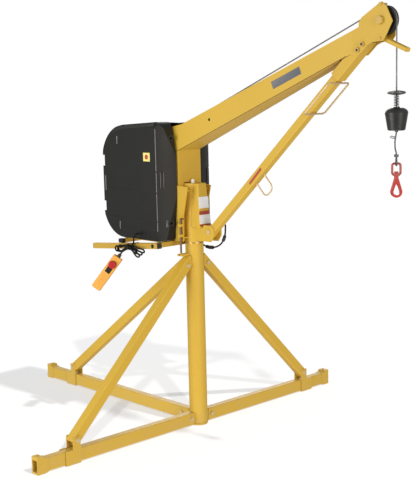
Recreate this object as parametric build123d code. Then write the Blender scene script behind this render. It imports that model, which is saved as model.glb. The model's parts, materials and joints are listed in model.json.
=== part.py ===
from build123d import *
import math
import os

# Mini crane: millimetres, +Z up, origin on the floor under the mast, boom along +X.

# Tripod base
mast_od = 88.9
mast_wall = 4.0
mast_top = 905.0
foot_plate = 8.0
rail_width = 40.0
rail_height = 60.0
rail_wall = 3.0
rail_lift = 6.0
rail_gap = 6.0
tube_corner = 4.0
side_reach = 967.0
rear_reach = 1270.0
side_bolt_reach = 68.0
rear_bolt_reach = 100.0
brace_side = 45.0
brace_wall = 3.0
brace_top_reach = 65.0
brace_top_height = 800.0
brace_pin_height = 106.0
side_pin_inset = 210.0
rear_pin_inset = 258.0
brace_end = 20.0
lug_depth = 30.0
saddle_wall = 4.0
saddle_inner = 18.0
saddle_outer = 63.0
ear_width = 40.0
collar_length = 55.0
collar_side = 2.0
collar_top = 79.0
anchor_radius = 7.0
anchor_inset = 20.0
base_bolt = 12.0

# Clearances
slip = 0.2
fit_gap = 0.02
running = 0.06
free_gap = 0.3
hole_play = 0.5

# Slewing head
spindle_radius = 38.0
spindle_wall = 6.0
spindle_bottom = 650.0
spindle_top = 1176.0
washer_height = 5.0
slew_wall = 3.9
slew_top = 1185.0
bush_length = 40.0
cap_height = 8.0
knob_radius = 8.5
post_front = -20.0
post_depth = 60.0
post_half = 72.0
post_wall = 4.0
cheek_thick = 6.0
cheek_back = -56.0
cheek_front_top = 45.0
cheek_front_low = 6.0
cheek_top = 1180.0
cheek_knee = 1020.0
rib_height = 5.0
rib_low = 932.0
rib_high = 1158.0
rib_front = 25.0
gusset_wall = 5.0
gusset_low = 985.0
gusset_top = 1193.0
gusset_low_front = 83.0
gusset_top_front = 64.0
gusset_low_half = 40.0
gusset_top_half = 30.0
ear_thick = 6.0
lock_pin_radius = 5.0
lock_pin_x = 0.0
lock_pin_bottom = 862.0
lock_pin_top = 1016.0
lock_guide_half = 9.0
lock_guide_height = 12.0
lock_guide_levels = (940.0, 990.0)
lock_lug_top = 858.0
lock_lug_height = 10.0
lock_prong = 9.0

# Boom and strut
boom_tail = -80.0
boom_tail_half = 72.0
boom_head_half = 32.0
boom_taper_end = 1000.0
boom_wall = 4.0
boom_low_tail = 1327.0
boom_low_front = (985.0, 1757.0)
boom_floor_end = 926.0
boom_top_tail = 1459.0
boom_top_bend = (8.0, 1476.0)
boom_top_front = (1031.0, 1862.7)
boom_roof_end = 1005.0
boom_head_outline = (
    (-129.0, -130.0),
    (-109.0, -131.0),
    (-64.0, -92.0),
    (-39.0, -82.0),
    (10.0, -80.0),
    (24.0, -62.0),
    (56.0, -6.0),
    (28.0, 50.0),
    (16.0, 60.0),
    (9.0, 69.5),
    (-4.0, 69.5),
    (-14.0, 61.5),
    (-92.0, 17.0),
    (-107.0, -2.0),
)
far_cheek_front = 26.0
far_cheek_top = 44.0
boom_hole = (188.0, 1497.0)
boom_hole_radius = 7.0
rope_notch_half = 15.0
strut_foot = (133.0, 968.0)
strut_head = (1039.0, 1797.0)
strut_width = 40.0
strut_depth = 36.0
strut_wall = 3.0
strut_tail = 24.0
strut_over = 30.0
sleeve_wall = 5.0
sleeve_low = 900.0
strut_bolt = 12.0
head_bolts = ((1027.0, 1773.0), (1051.0, 1795.0))
handle_rod = 4.0
handle_stations = (754.0, 891.0)
handle_reach = 65.0
keeper_rod = 3.5
keeper_station = 437.0
keeper_half = 32.0
keeper_drop = 83.0

# Boom head
sheave_centre = (1139.0, 1883.0)
sheave_radius = 57.5
sheave_half = 10.0
rope_radius = 3.0
rope_pitch = 53.8
hub_half = 20.0
hub_radius = 20.0
axle_radius = 10.0
spacer_radius = 16.0
keeper_pin = (1142.0, 1945.6)
keeper_inner = 4.0
pin_radius = 4.0
limit_pivot = (1136.0, 1812.0)
limit_length = 120.0
limit_tail = 5.0
limit_depth = 16.0
limit_half = 14.0
limit_slot_half = 8.0
limit_slot_start = 30.0
limit_slope = 23.5
limit_wall = 10.0

# Winch and cover
drum_centre = (-230.0, 1317.0)
drum_core = 60.0
drum_flange = 98.0
drum_half = 70.0
flange_thick = 6.0
pack_radius = 72.0
shaft_radius = 15.0
stand_y = (-108.0, -88.0)
stand_half = 50.0
gearbox_inner = 86.0
gearbox_margin = 21.0
gearbox_half = 82.0
gearbox_low = 922.0
gearbox_corner = 40.0
motor_centre = (-230.0, 1030.0)
motor_radius = 78.0
motor_y = (-80.0, 85.0)
motor_fins = 9
bar_side = 28.0
bar_wall = 3.0
bar_front = -40.0
bar_length = 500.0
bar_y = 190.0
bar_front_height = 905.0
bar_slope = 4.8
crossbar = 25.0
front_crossbar_x = -72.5
rear_crossbar_x = -318.0
plate_top = 922.0
plate_thick = 6.0
plate_front = -84.0
plate_back = -333.0
plate_margin = 11.0
cover_corner = -69.0
cover_nose = -15.0
cover_front_low = -47.0
cover_front_swell = -24.0
cover_front_high = -54.0
swell_foot = 229.0
swell_head = 158.0
swell_radius = 800.0
cover_back = -481.0
cover_half = 171.0
cover_lap = 1.0
cover_high = 1490.0
cover_far_fall = 20.0
cover_rear_fall = 24.0
cover_wall = 6.0
cover_parting = -78.0
cover_bevel = 26.0
cover_top_radius = 180.0
cover_low_radius = 160.0
cover_front_radius = 42.0
cover_toe_radius = 12.0
cover_rear_round = 10.0
cover_slot_half = 80.0
cover_slot_back = -112.0
cover_grooves = ((1271.0, 1324.0), (1046.0, 1095.0))
groove_depth = 20.0
panel_screw_high = (104.0, 77.0)
panel_screw_low = (112.0, 84.0)
screw_radius = 3.0
screw_seat_depth = 2.2
screw_seat_radius = 7.5

# Hanging gear
fall_end = 1625.0
disc_height = 1602.0
disc_radius = 36.0
disc_thick = 18.0
spring_low = 1547.0
spring_high = 1593.0
spring_radius = 9.8
spring_wire = 1.3
spring_turns = 7
weight_top = 1543.0
weight_low = 1455.0
weight_top_radius = 46.0
weight_low_radius = 35.0
bail_top = 1325.0
bail_half = 16.5
bail_rod = 4.6
bail_low = 1283.0
stem_radius = 5.0
hook_turn = 46.6
hook_ring = (0.0, 1213.0)
hook_ring_radius = 23.0
hook_eye_radius = 12.5
hook_thick = 16.0
hook_neck = 1264.0
latch_pin = (6.5, 1251.0)
knuckle_radius = 7.4

# Pendant and cables
cable_radius = 4.0
pendant_place = (-50.43, -92.52, -109.25)
pendant_lean = (-82.0, -88.0, -157.0)
pendant_face = (0.68, -0.732, 0.055)
pendant_width = 49.0
pendant_length = 190.0
pendant_depth = 36.0
estop_radius = 18.5
estop_drop = 45.0
rocker_drop = 77.0
relief_length = 16.0
relief_radius = 10.0
gland_x = -197.0
gland_rise = 31.0
gland_length = 10.0
gland_radius = 8.0
gland_neck = 5.5
hank_place = (-17.0, -34.0, -62.5)
hank_waist_half = 7.8
hank_left_half = 13.0
hank_right_half = 9.0
hank_loops = ((-106.0, 16.0, 98.0, 13.0), (-99.0, 18.0, 92.0, 23.0), (-104.0, 15.0, 84.0, 33.0))
hank_step = 10.0
tie_width = 6.0
tie_shift = 4.0
tie_thick = 1.6
tie_corner = 2.0
switch_gland_x = 172.0
switch_gland_length = 8.0
switch_gland_radius = 6.0
bar_gland_y = 70.0
bar_gland_height = 899.0
bar_gland_length = 10.0
pendant_drop = (
    (0.0, 0.0, 0.0),
    (0.0, -15.0, 0.0),
    (0.0, -28.0, -7.5),
    (0.0, -35.5, -20.5),
    (0.0, -35.5, -38.0),
    (-8.5, -35.0, -52.7),
    (-23.2, -34.0, -61.2),
    (-39.0, -34.0, -61.2),
)
pendant_lead = (
    (11.0, -64.0, -58.34),
    (-18.0, -64.0, -58.34),
    (-26.6, -67.0, -63.7),
    (-43.8, -85.4, -96.55),
)
limit_lead = (
    (169.0, 47.0, 982.0),
    (166.0, 49.0, 957.0),
    (155.0, 52.0, 929.0),
    (129.0, 57.0, 901.0),
    (87.0, 62.0, 881.0),
    (38.0, 66.0, 874.0),
    (-8.0, 68.0, 881.0),
)
limit_lead_start = 17.0
limit_lead_finish = 20.9

# Derived values
mast_radius = mast_od / 2
mast_bore = mast_radius - mast_wall
slew_bore = mast_radius - slew_wall
slew_low = mast_top + washer_height + free_gap
rail_top = rail_lift + rail_height
side_pin_reach = side_reach - side_pin_inset
rear_pin_reach = rear_reach - rear_pin_inset
rail_mid = rail_lift + rail_height / 2
cheek_half = boom_head_half - boom_wall
rope_x = sheave_centre[0] + rope_pitch
strut_run = Vector(strut_head[0] - strut_foot[0], 0, strut_head[1] - strut_foot[1])
strut_axis = strut_run.normalized()
strut_under = Vector(strut_axis.Z, 0, -strut_axis.X)
pendant_axis = Vector(*pendant_lean).normalized()
gearbox_top = drum_centre[1] + gearbox_half
gearbox_y = (gearbox_inner, cover_half - gearbox_margin)
plate_half = cover_half - plate_margin
plate_low = plate_top - plate_thick
cover_low = plate_top - cover_lap
gland_height = cover_low + gland_rise
crossbar_top = plate_low
gland_end = Vector(gland_x, -cover_half - gland_length, gland_height)
pendant_top = gland_end + Vector(*pendant_place)
hank_centre = (gland_end.X + hank_place[0], gland_end.Z + hank_place[2])
hank_first_y = gland_end.Y + hank_place[1]
post_low = crossbar_top

os.makedirs("parts", exist_ok=True)


def save(name, *shapes):
    """Write the solids of one piece, or of a group of like pieces, as one node."""
    solids = [solid for shape in shapes for solid in shape.solids()]
    whole = solids[0] if len(solids) == 1 else Compound(children=solids)
    export_step(whole, f"parts/{name}.step")


def block(x, y, z):
    """A box between pairs of limits."""
    size = Box(x[1] - x[0], y[1] - y[0], z[1] - z[0])
    return Pos(sum(x) / 2, sum(y) / 2, sum(z) / 2) * size


def rod(start, end, radius):
    """A round bar between two points."""
    base = Vector(*start)
    run = Vector(*end) - base
    return extrude(Plane(origin=base, z_dir=run) * Circle(radius), amount=run.length)


def ring(radius, bore, low, high):
    """An upright tube about the Z axis."""
    return Pos(0, 0, low) * extrude(Circle(radius) - Circle(bore), amount=high - low)


def post_hole(radius, low=0.0, high=2000.0):
    """A cutter about the Z axis."""
    return rod((0, 0, low), (0, 0, high), radius)


def plate_xz(points, y, radius=0.0):
    """A plate drawn in the XZ plane between two values of Y."""
    outline = [(x, y[0], z) for x, z in points]
    if radius:
        wire = FilletPolyline(*outline, radius=radius, close=True)
    else:
        wire = Polyline(*outline, close=True)
    return extrude(make_face(wire), amount=y[1] - y[0], dir=(0, 1, 0))


def slab_xy(points, z):
    """A slab drawn in the XY plane between two values of Z."""
    wire = Polyline(*[(x, y, z[0]) for x, y in points], close=True)
    return extrude(make_face(wire), amount=z[1] - z[0], dir=(0, 0, 1))


def box_tube(start, end, side, width, depth, wall, corner=tube_corner):
    """A rectangular tube with rounded corners; width lies along the side direction."""
    base = Vector(*start)
    run = Vector(*end) - base
    plane = Plane(origin=base, x_dir=side, z_dir=run)
    section = RectangleRounded(width, depth, corner)
    if wall:
        section -= RectangleRounded(width - 2 * wall, depth - 2 * wall, corner - wall / 2)
    return extrude(plane * section, amount=run.length)


def bent_rod(points, radius, bend):
    """A round wire along straight runs with rounded corners."""
    path = FilletPolyline(*points, radius=bend)
    return sweep(Plane(origin=path @ 0, z_dir=path % 0) * Circle(radius), path=path)


def bolt_and_nut(head, direction, grip, size):
    """A hexagon bolt whose head seats at a point, and its nut at the far side of the grip."""
    seat = Vector(*head)
    plane = Plane(origin=seat, z_dir=direction)
    head_height = 0.62 * size
    nut_height = 0.8 * size
    across = 0.87 * size
    hexagon = RegularPolygon(across, 6)
    bolt = extrude(plane * hexagon, amount=-head_height)
    bolt += extrude(plane * Circle(size / 2), amount=grip + nut_height + 2)
    nut_plane = Plane(origin=seat + plane.z_dir * grip, z_dir=direction)
    nut = extrude(nut_plane * (RegularPolygon(across, 6) - Circle(size / 2 + slip)), amount=nut_height)
    return [bolt, nut]


def biarc(start, leave, end, arrive):
    """Two tangent arcs from a point and direction to another point and direction."""
    chord = end - start
    a = 2 * (leave.dot(arrive) - 1)
    b = -2 * chord.dot(leave + arrive)
    c = chord.dot(chord)
    reach = -c / b if abs(a) < 1e-9 else (-b - math.sqrt(b * b - 4 * a * c)) / (2 * a)
    first = start + leave * reach
    second = end - arrive * reach
    middle = (first + second) / 2
    return [
        TangentArc(start, middle, tangent=leave),
        TangentArc(middle, end, tangent=second - first),
    ]


def wound_tube(stations, radius):
    """One unbroken tube along points with directions, joined by pairs of arcs."""
    edges = []
    for (start, leave), (end, arrive) in zip(stations, stations[1:]):
        straight = (end - start).normalized()
        if (straight - leave).length < 1e-6 and (straight - arrive).length < 1e-6:
            edges.append(Line(start, end))
        else:
            edges.extend(biarc(start, leave, end, arrive))
    path = Wire(edges)
    section = Plane(origin=stations[0][0], z_dir=stations[0][1]) * Circle(radius)
    return sweep(section, path=path), path


def least_gap(path, radius, apart):
    """The least clear gap between stretches of a tube that are apart along it."""
    count = int(path.length / radius)
    points = [path @ (i / count) for i in range(count + 1)]
    skip = int(apart / path.length * count)
    gaps = [
        (points[i] - points[j]).length
        for i in range(count + 1)
        for j in range(i + skip, count + 1)
    ]
    return min(gaps) - 2 * radius


# Tripod base: each leg is drawn along +X and turned to its place.
def leg_brace(pin_reach):
    """The slanting tube of a leg, coped to the mast, and the tongue that carries its top."""
    foot = Vector(pin_reach, 0, brace_pin_height)
    top = Vector(brace_top_reach, 0, brace_top_height)
    axis = (foot - top).normalized()
    across = (0, 1, 0)
    tube = box_tube(top - axis * 45, foot + axis * brace_end, across, brace_side, brace_side, brace_wall)
    tube -= post_hole(mast_radius + 2.5)
    inner = brace_side - 2 * brace_wall - 2 * slip
    tongue = box_tube(top - axis * 60, top + axis * 18, across, inner, lug_depth, 0, 3.0)
    tongue -= post_hole(mast_radius + fit_gap)
    for centre in (foot, top):
        hole = rod((centre.X, -50, centre.Z), (centre.X, 50, centre.Z), base_bolt / 2 + hole_play)
        tube -= hole
        tongue -= hole
    return tube, tongue


def leg_rail(reach, bolt_reach):
    """A floor rail with its bolt hole and the vertical anchor hole at its end."""
    start = mast_radius + rail_gap
    tube = box_tube((start, 0, rail_mid), (reach, 0, rail_mid), (0, 1, 0), rail_width, rail_height, rail_wall)
    tube -= post_hole(mast_radius + rail_gap / 2)
    tube -= rod((bolt_reach, -50, rail_mid), (bolt_reach, 50, rail_mid), base_bolt / 2 + hole_play)
    tube -= rod((reach - anchor_inset, 0, 0), (reach - anchor_inset, 0, 100), anchor_radius)
    return tube


def leg_lug(bolt_reach):
    """The bar on the mast that fills the inner end of a rail."""
    half_width = rail_width / 2 - rail_wall - slip
    half_height = rail_height / 2 - rail_wall - slip
    lug = block((30, bolt_reach + 22), (-half_width, half_width), (rail_mid - half_height, rail_mid + half_height))
    lug = fillet(lug.edges().filter_by(Axis.X), tube_corner - rail_wall / 2)
    lug -= post_hole(mast_radius + fit_gap)
    lug -= rod((bolt_reach, -50, rail_mid), (bolt_reach, 50, rail_mid), base_bolt / 2 + hole_play)
    return lug


def leg_saddle(pin_reach):
    """A folded plate under the rail whose ears carry the foot of the brace."""
    inner = brace_side / 2 + slip
    outer = inner + saddle_wall
    low = rail_lift - slip - saddle_wall
    back = pin_reach - saddle_inner
    ear = back + ear_width
    front = pin_reach + saddle_outer
    ear_top = brace_pin_height + saddle_inner
    outline = [(back, low), (front, low), (front, rail_top + 2), (ear, rail_top + 2), (ear, ear_top), (back, ear_top)]
    saddle = plate_xz(outline, (-outer, outer), 2.0)
    saddle -= block((back - 1, front + 1), (-inner, inner), (rail_lift - slip, ear_top + 1))
    pin = rod((pin_reach, -50, brace_pin_height), (pin_reach, 50, brace_pin_height), base_bolt / 2 + hole_play)
    return saddle - pin


def leg_collar(reach):
    """The shoe round the end of a rail, which stands on the floor and takes an anchor."""
    back = reach - collar_length
    outer = rail_width / 2 + slip + collar_side
    rim = 1.5
    outline = [
        (back, rail_lift - rim),
        (back + 17, 0),
        (reach, 0),
        (reach, collar_top),
        (reach - 30, collar_top),
        (reach - 38, rail_top + rim),
        (back, rail_top + rim),
    ]
    shoe = plate_xz(outline, (-outer, outer))
    inner = rail_width / 2 + slip
    shoe -= block((back - 1, reach + 1), (-inner, inner), (rail_lift - slip, rail_top + slip))
    shoe -= rod((reach - anchor_inset, 0, -1), (reach - anchor_inset, 0, 100), anchor_radius)
    return shoe


def leg_bolts(pin_reach, bolt_reach, side):
    """The three bolts of a leg, with their heads on the given side."""
    rail_seat = rail_width / 2
    foot_seat = brace_side / 2 + slip + saddle_wall
    top_seat = brace_side / 2
    direction = (0, -side, 0)
    pieces = bolt_and_nut((bolt_reach, side * rail_seat, rail_mid), direction, 2 * rail_seat, base_bolt)
    foot = (pin_reach, side * foot_seat, brace_pin_height)
    pieces += bolt_and_nut(foot, direction, 2 * foot_seat, base_bolt)
    top = (brace_top_reach, side * top_seat, brace_top_height)
    pieces += bolt_and_nut(top, direction, 2 * top_seat, base_bolt)
    return pieces


legs = [
    {"turn": -90, "reach": side_reach, "pin": side_pin_reach, "bolt": side_bolt_reach, "side": 1},
    {"turn": 90, "reach": side_reach, "pin": side_pin_reach, "bolt": side_bolt_reach, "side": -1},
    {"turn": 180, "reach": rear_reach, "pin": rear_pin_reach, "bolt": rear_bolt_reach, "side": 1},
]
rails = []
braces = []
lugs = []
saddles = []
collars = []
base_bolts = []
for leg in legs:
    turn = Rot(0, 0, leg["turn"])
    brace, tongue = leg_brace(leg["pin"])
    rails.append(turn * leg_rail(leg["reach"], leg["bolt"]))
    braces.append(turn * brace)
    lugs += [turn * leg_lug(leg["bolt"]), turn * tongue]
    saddles.append(turn * leg_saddle(leg["pin"]))
    collars.append(turn * leg_collar(leg["reach"]))
    base_bolts += [turn * piece for piece in leg_bolts(leg["pin"], leg["bolt"], leg["side"])]

cheek_outer = post_half + cheek_thick
lock_pin_y = -(cheek_outer + lock_guide_half)
lock_lug_low = lock_lug_top - lock_lug_height
for side in (-1, 1):
    inner = lock_pin_radius + hole_play
    prong_x = sorted((lock_pin_x + side * inner, lock_pin_x + side * (inner + lock_prong)))
    prong = block(prong_x, (lock_pin_y - 12, -20), (lock_lug_low, lock_lug_top))
    lugs.append(prong - post_hole(mast_radius + fit_gap))

save("side_rails", rails[0], rails[1])
save("rear_rail", rails[2])
save("side_braces", braces[0], braces[1])
save("rear_brace", braces[2])
save("mast_lugs", *lugs)
save("brace_saddles", *saddles)
save("foot_collars", *collars)
save("base_bolts", *base_bolts)

mast = ring(mast_radius, mast_bore, 0, mast_top)
mast += post_hole(mast_bore + hole_play, 0, foot_plate)
save("mast", mast)

spindle = ring(mast_bore - slip, spindle_radius - spindle_wall, spindle_bottom, mast_top)
spindle += ring(spindle_radius, spindle_radius - spindle_wall, mast_top, spindle_top)
save("slew_spindle", spindle)


# Slewing head
bush_bore = spindle_radius + running
bushes = [
    ring(slew_bore - fit_gap, bush_bore, low, low + bush_length)
    for low in (slew_low + 2, slew_top - cap_height - bush_length)
]
washer = ring(mast_radius, spindle_radius + hole_play, mast_top + slip, mast_top + washer_height)
save("slew_bushes", *bushes, washer)
save("slew_tube", ring(mast_radius, slew_bore, slew_low, slew_top))

cap = ring(mast_radius, knob_radius / 2 + slip, slew_top, slew_top + cap_height)
save("slew_cap", cap)
knob_seat = slew_top + cap_height
knob = rod((0, 0, slew_top + 1), (0, 0, knob_seat + 6), knob_radius / 2)
knob += Pos(0, 0, knob_seat) * extrude(RegularPolygon(knob_radius + 1.5, 6), amount=6)
knob += Pos(0, 0, knob_seat + 11) * Sphere(knob_radius)
knob -= block((-20, 20), (-20, 20), (slew_top - 30, slew_top + 1))
save("grease_knob", knob)


def boom_low(x):
    """Height of the boom's underside."""
    slope = (boom_low_front[1] - boom_low_tail) / (boom_low_front[0] - boom_tail)
    return boom_low_tail + slope * (x - boom_tail)


post_back = post_front - post_depth
outline = [
    (post_back, post_low),
    (post_front, post_low),
    (post_front, boom_low(post_front)),
    (post_back, boom_low(post_back)),
]
post = plate_xz(outline, (-post_half, post_half))
core_half = post_half - post_wall
post -= block((post_back + post_wall, post_front - post_wall), (-core_half, core_half), (post_low - 1, boom_low_tail + 60))
post -= post_hole(mast_radius + free_gap, 0, gusset_top + 4)
save("post", post)

cheek_outline = [
    (cheek_back, post_low),
    (cheek_front_low, post_low),
    (cheek_front_low, cheek_knee),
    (cheek_front_top, cheek_top),
    (cheek_back, cheek_top + 6),
]
slew_plates = []
for side in (-1, 1):
    faces = sorted((side * post_half, side * cheek_outer))
    slew_plates.append(plate_xz(cheek_outline, faces))
for level, front in ((rib_low, cheek_front_low), (rib_high, rib_front)):
    rib = block((post_front, front), (-post_half, post_half), (level, level + rib_height))
    slew_plates.append(rib - post_hole(mast_radius + fit_gap))
for level in lock_guide_levels:
    guide = block(
        (lock_pin_x - lock_guide_half, cheek_front_low),
        (lock_pin_y - lock_guide_half, -cheek_outer),
        (level, level + lock_guide_height),
    )
    slew_plates.append(guide - Pos(lock_pin_x, lock_pin_y, 0) * post_hole(lock_pin_radius + running))
save("slew_cheeks", *slew_plates)


def gusset_prism(inset, low, high):
    """The tapering body of the front gusset, drawn in by a wall."""
    def section(level):
        share = (level - gusset_low) / (gusset_top - gusset_low)
        front = gusset_low_front + share * (gusset_top_front - gusset_low_front) - inset
        half = gusset_low_half + share * (gusset_top_half - gusset_low_half) - inset
        return Pos(0, 0, level) * make_face(
            Polyline((0, -half), (front - 6, -half), (front, -half + 6), (front, half - 6),
                     (front - 6, half), (0, half), close=True)
        )
    return loft([section(low), section(high)], ruled=True)


gusset = gusset_prism(0, gusset_low, gusset_top)
gusset -= gusset_prism(gusset_wall, gusset_low - 1, gusset_top - gusset_wall)
gusset -= post_hole(mast_radius + fit_gap)
save("front_gusset", gusset)

ear_inner = strut_width / 2 + free_gap
ear_outer = ear_inner + ear_thick
ear_outline = [
    (25, slew_low + 10),
    (strut_foot[0] + 10, slew_low + 10),
    (strut_foot[0] + 32, strut_foot[1] - 18),
    (strut_foot[0] + 32, strut_foot[1] + 16),
    (strut_foot[0] + 6, strut_foot[1] + 30),
    (gusset_low_front + 14, strut_foot[1] + 30),
    (gusset_low_front + 6, gusset_low - 1),
    (25, gusset_low - 1),
]
foot_hole = rod((strut_foot[0], -60, strut_foot[1]), (strut_foot[0], 60, strut_foot[1]), strut_bolt / 2 + hole_play)
ears = []
for side in (-1, 1):
    faces = sorted((side * ear_inner, side * ear_outer))
    ears.append(plate_xz(ear_outline, faces) - post_hole(mast_radius + fit_gap) - foot_hole)
save("strut_ears", *ears)

lock_pin = rod((lock_pin_x, lock_pin_y, lock_pin_bottom), (lock_pin_x, lock_pin_y, lock_pin_top), lock_pin_radius)
lock_pin = chamfer(lock_pin.edges().filter_by(GeomType.CIRCLE).group_by(Axis.Z)[0], 1.5)
grip_z = lock_pin_top + 6
lock_pin += bent_rod(
    [
        (lock_pin_x, lock_pin_y, lock_pin_top - 1),
        (lock_pin_x, lock_pin_y, grip_z + 6),
        (lock_pin_x + 22, lock_pin_y, grip_z + 6),
    ],
    lock_pin_radius - 1,
    6.0,
)
save("lock_pin", lock_pin)


# Boom: a folded box that tapers in plan and in depth, with open cheeks at its head
boom_far = sheave_centre[0] + 160
boom_sky = sheave_centre[1] + 200


def boom_plan(inset):
    """The boom's outline seen from above, drawn in by a wall."""
    tail = boom_tail_half - inset
    head = boom_head_half - inset
    points = [(boom_tail, -tail), (boom_taper_end, -head), (boom_far, -head)]
    points += [(x, -y) for x, y in reversed(points)]
    return slab_xy(points, (boom_low_tail - 100, boom_sky))


sleeve_depth = strut_depth / 2 + sleeve_wall
boom_side = [
    (boom_tail, boom_low_tail),
    boom_low_front,
    *[(sheave_centre[0] + x, sheave_centre[1] + z) for x, z in boom_head_outline],
    boom_top_front,
    boom_top_bend,
    (boom_tail, boom_top_tail),
]


def boom_high(x):
    """Height of the boom's upper face in front of its bend."""
    slope = (boom_top_front[1] - boom_top_bend[1]) / (boom_top_front[0] - boom_top_bend[0])
    return boom_top_bend[1] + slope * (x - boom_top_bend[0])


boom_core = [
    (boom_tail - 5, boom_low(boom_tail - 5) + boom_wall),
    (boom_floor_end, boom_low(boom_floor_end) + boom_wall),
    (boom_floor_end, boom_low_front[1] - 125),
    (boom_far - 5, boom_low_front[1] - 125),
    (boom_far - 5, boom_sky - 5),
    (boom_roof_end, boom_sky - 5),
    (boom_roof_end, boom_high(boom_roof_end) - boom_wall),
    (boom_top_bend[0], boom_top_bend[1] - boom_wall),
    (boom_tail - 5, boom_top_tail - boom_wall - 1),
]
boom = plate_xz(boom_side, (-100, 100)) & boom_plan(0)
boom -= plate_xz(boom_core, (-100, 100)) & boom_plan(boom_wall)
boom -= block((boom_tail - 1, 30), (-rope_notch_half, rope_notch_half), (boom_top_tail - 20, boom_sky))
far_cheek_cut = [
    (far_cheek_front, -70.0),
    (200.0, -70.0),
    (200.0, 200.0),
    (-60.0, 200.0),
    (-60.0, far_cheek_top),
    (far_cheek_front - 14, far_cheek_top),
    (far_cheek_front, far_cheek_top - 14),
]
boom -= plate_xz([(sheave_centre[0] + x, sheave_centre[1] + z) for x, z in far_cheek_cut], (5, 100))
boom -= rod((boom_hole[0], -100, boom_hole[1]), (boom_hole[0], 100, boom_hole[1]), boom_hole_radius)
boom_holes = [(point, strut_bolt / 2 + hole_play) for point in head_bolts]
boom_holes += [(sheave_centre, axle_radius + slip), (limit_pivot, pin_radius + slip)]
for (x, z), radius in boom_holes:
    boom -= rod((x, -100, z), (x, 100, z), radius)
boom -= rod((keeper_pin[0], -100, keeper_pin[1]), (keeper_pin[0], 0, keeper_pin[1]), pin_radius + slip)
save("boom", boom)


# Strut, its head sleeve, its bolts and its wire loops
def strut_point(x, drop=0.0, y=0.0):
    """A point on the strut's axis, moved square to it on the underside and sideways."""
    along = strut_axis * ((x - strut_foot[0]) / strut_axis.X)
    return Vector(strut_foot[0], y, strut_foot[1]) + along + strut_under * drop


strut_start = strut_point(strut_foot[0]) - strut_axis * strut_tail
strut_end = strut_point(strut_head[0]) + strut_axis * strut_over
strut = box_tube(strut_start, strut_end, (0, 1, 0), strut_width, strut_depth, strut_wall)
strut -= foot_hole
sleeve_width = 2 * (cheek_half - free_gap)
sleeve = box_tube(
    strut_point(sleeve_low), strut_end, (0, 1, 0), sleeve_width, 2 * sleeve_depth, 0
)
sleeve -= box_tube(
    strut_point(sleeve_low - 20),
    strut_end + strut_axis * 10,
    (0, 1, 0),
    strut_width + 2 * slip,
    strut_depth + 2 * slip,
    0,
)
strut_fixings = []
for x, z in head_bolts:
    hole = rod((x, -60, z), (x, 60, z), strut_bolt / 2 + hole_play)
    strut -= hole
    sleeve -= hole
    strut_fixings += bolt_and_nut((x, -boom_head_half, z), (0, 1, 0), 2 * boom_head_half, strut_bolt)
foot_seat = (strut_foot[0], -ear_outer, strut_foot[1])
strut_fixings += bolt_and_nut(foot_seat, (0, 1, 0), 2 * ear_outer, strut_bolt)
save("strut", strut)
save("strut_sleeve", sleeve)
save("strut_bolts", *strut_fixings)

handle_drop = strut_depth / 2 + handle_rod
first, last = handle_stations
handle_side = bent_rod(
    [
        strut_point(first, handle_drop),
        strut_point(first, handle_drop, handle_reach),
        strut_point(last, handle_drop, handle_reach),
        strut_point(last, handle_drop),
    ],
    handle_rod,
    14.0,
)
handle = handle_side + mirror(handle_side, about=Plane.XZ)
keeper_top = strut_depth / 2
keeper_foot = keeper_top + keeper_drop
middle = strut_point(keeper_station)
keeper = bent_rod(
    [
        middle - strut_axis * keeper_half + strut_under * keeper_top,
        middle - strut_axis * keeper_half + strut_under * keeper_foot,
        middle + strut_axis * keeper_half + strut_under * keeper_foot,
        middle + strut_axis * keeper_half + strut_under * keeper_top,
    ],
    keeper_rod,
    26.0,
)
save("strut_loops", handle, keeper)


# Sheave, axle, pins and hoist limit
def turned(points, centre, axis_y=True):
    """A solid of revolution: pairs of radius and place along the axis."""
    face = make_face(Polyline(*[(r, 0, h) for r, h in points], close=True))
    solid = revolve(face, axis=Axis.Z)
    if axis_y:
        solid = Rot(-90, 0, 0) * solid
    return Pos(*centre) * solid


sheave_place = (sheave_centre[0], 0, sheave_centre[1])
groove = rope_radius + free_gap
sheave = turned(
    [
        (axle_radius + running, -hub_half),
        (hub_radius, -hub_half),
        (hub_radius + 2, -5),
        (rope_pitch - 9, -5),
        (rope_pitch - 5, -sheave_half),
        (sheave_radius, -sheave_half),
        (sheave_radius, -sheave_half + 3),
        (rope_pitch, -groove),
        (rope_pitch, groove),
        (sheave_radius, sheave_half - 3),
        (sheave_radius, sheave_half),
        (rope_pitch - 5, sheave_half),
        (rope_pitch - 9, 5),
        (hub_radius + 2, 5),
        (hub_radius, hub_half),
        (axle_radius + running, hub_half),
    ],
    sheave_place,
)
sheave -= Pos(*sheave_place) * Rot(90, 0, 0) * Torus(rope_pitch, groove)
save("sheave", sheave)

axle_parts = bolt_and_nut(
    (sheave_centre[0], -boom_head_half, sheave_centre[1]), (0, 1, 0), 2 * boom_head_half, 2 * axle_radius
)
for side in (-1, 1):
    inner_end = (sheave_centre[0], side * (hub_half + free_gap), sheave_centre[1])
    outer_end = (sheave_centre[0], side * cheek_half, sheave_centre[1])
    axle_parts.append(rod(inner_end, outer_end, spacer_radius) - rod(inner_end, outer_end, axle_radius + slip))
save("sheave_axle", *axle_parts)

pivot_seat = (limit_pivot[0], -boom_head_half, limit_pivot[1])
head_pins = bolt_and_nut(pivot_seat, (0, 1, 0), 2 * boom_head_half, 2 * pin_radius)
keeper_seat = (keeper_pin[0], -boom_head_half, keeper_pin[1])
keeper_bolt, keeper_nut = bolt_and_nut(keeper_seat, (0, 1, 0), boom_wall, 2 * pin_radius)
keeper_bolt += rod(keeper_seat, (keeper_pin[0], keeper_inner, keeper_pin[1]), pin_radius)
save("head_pins", *head_pins, keeper_bolt, keeper_nut)

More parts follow.
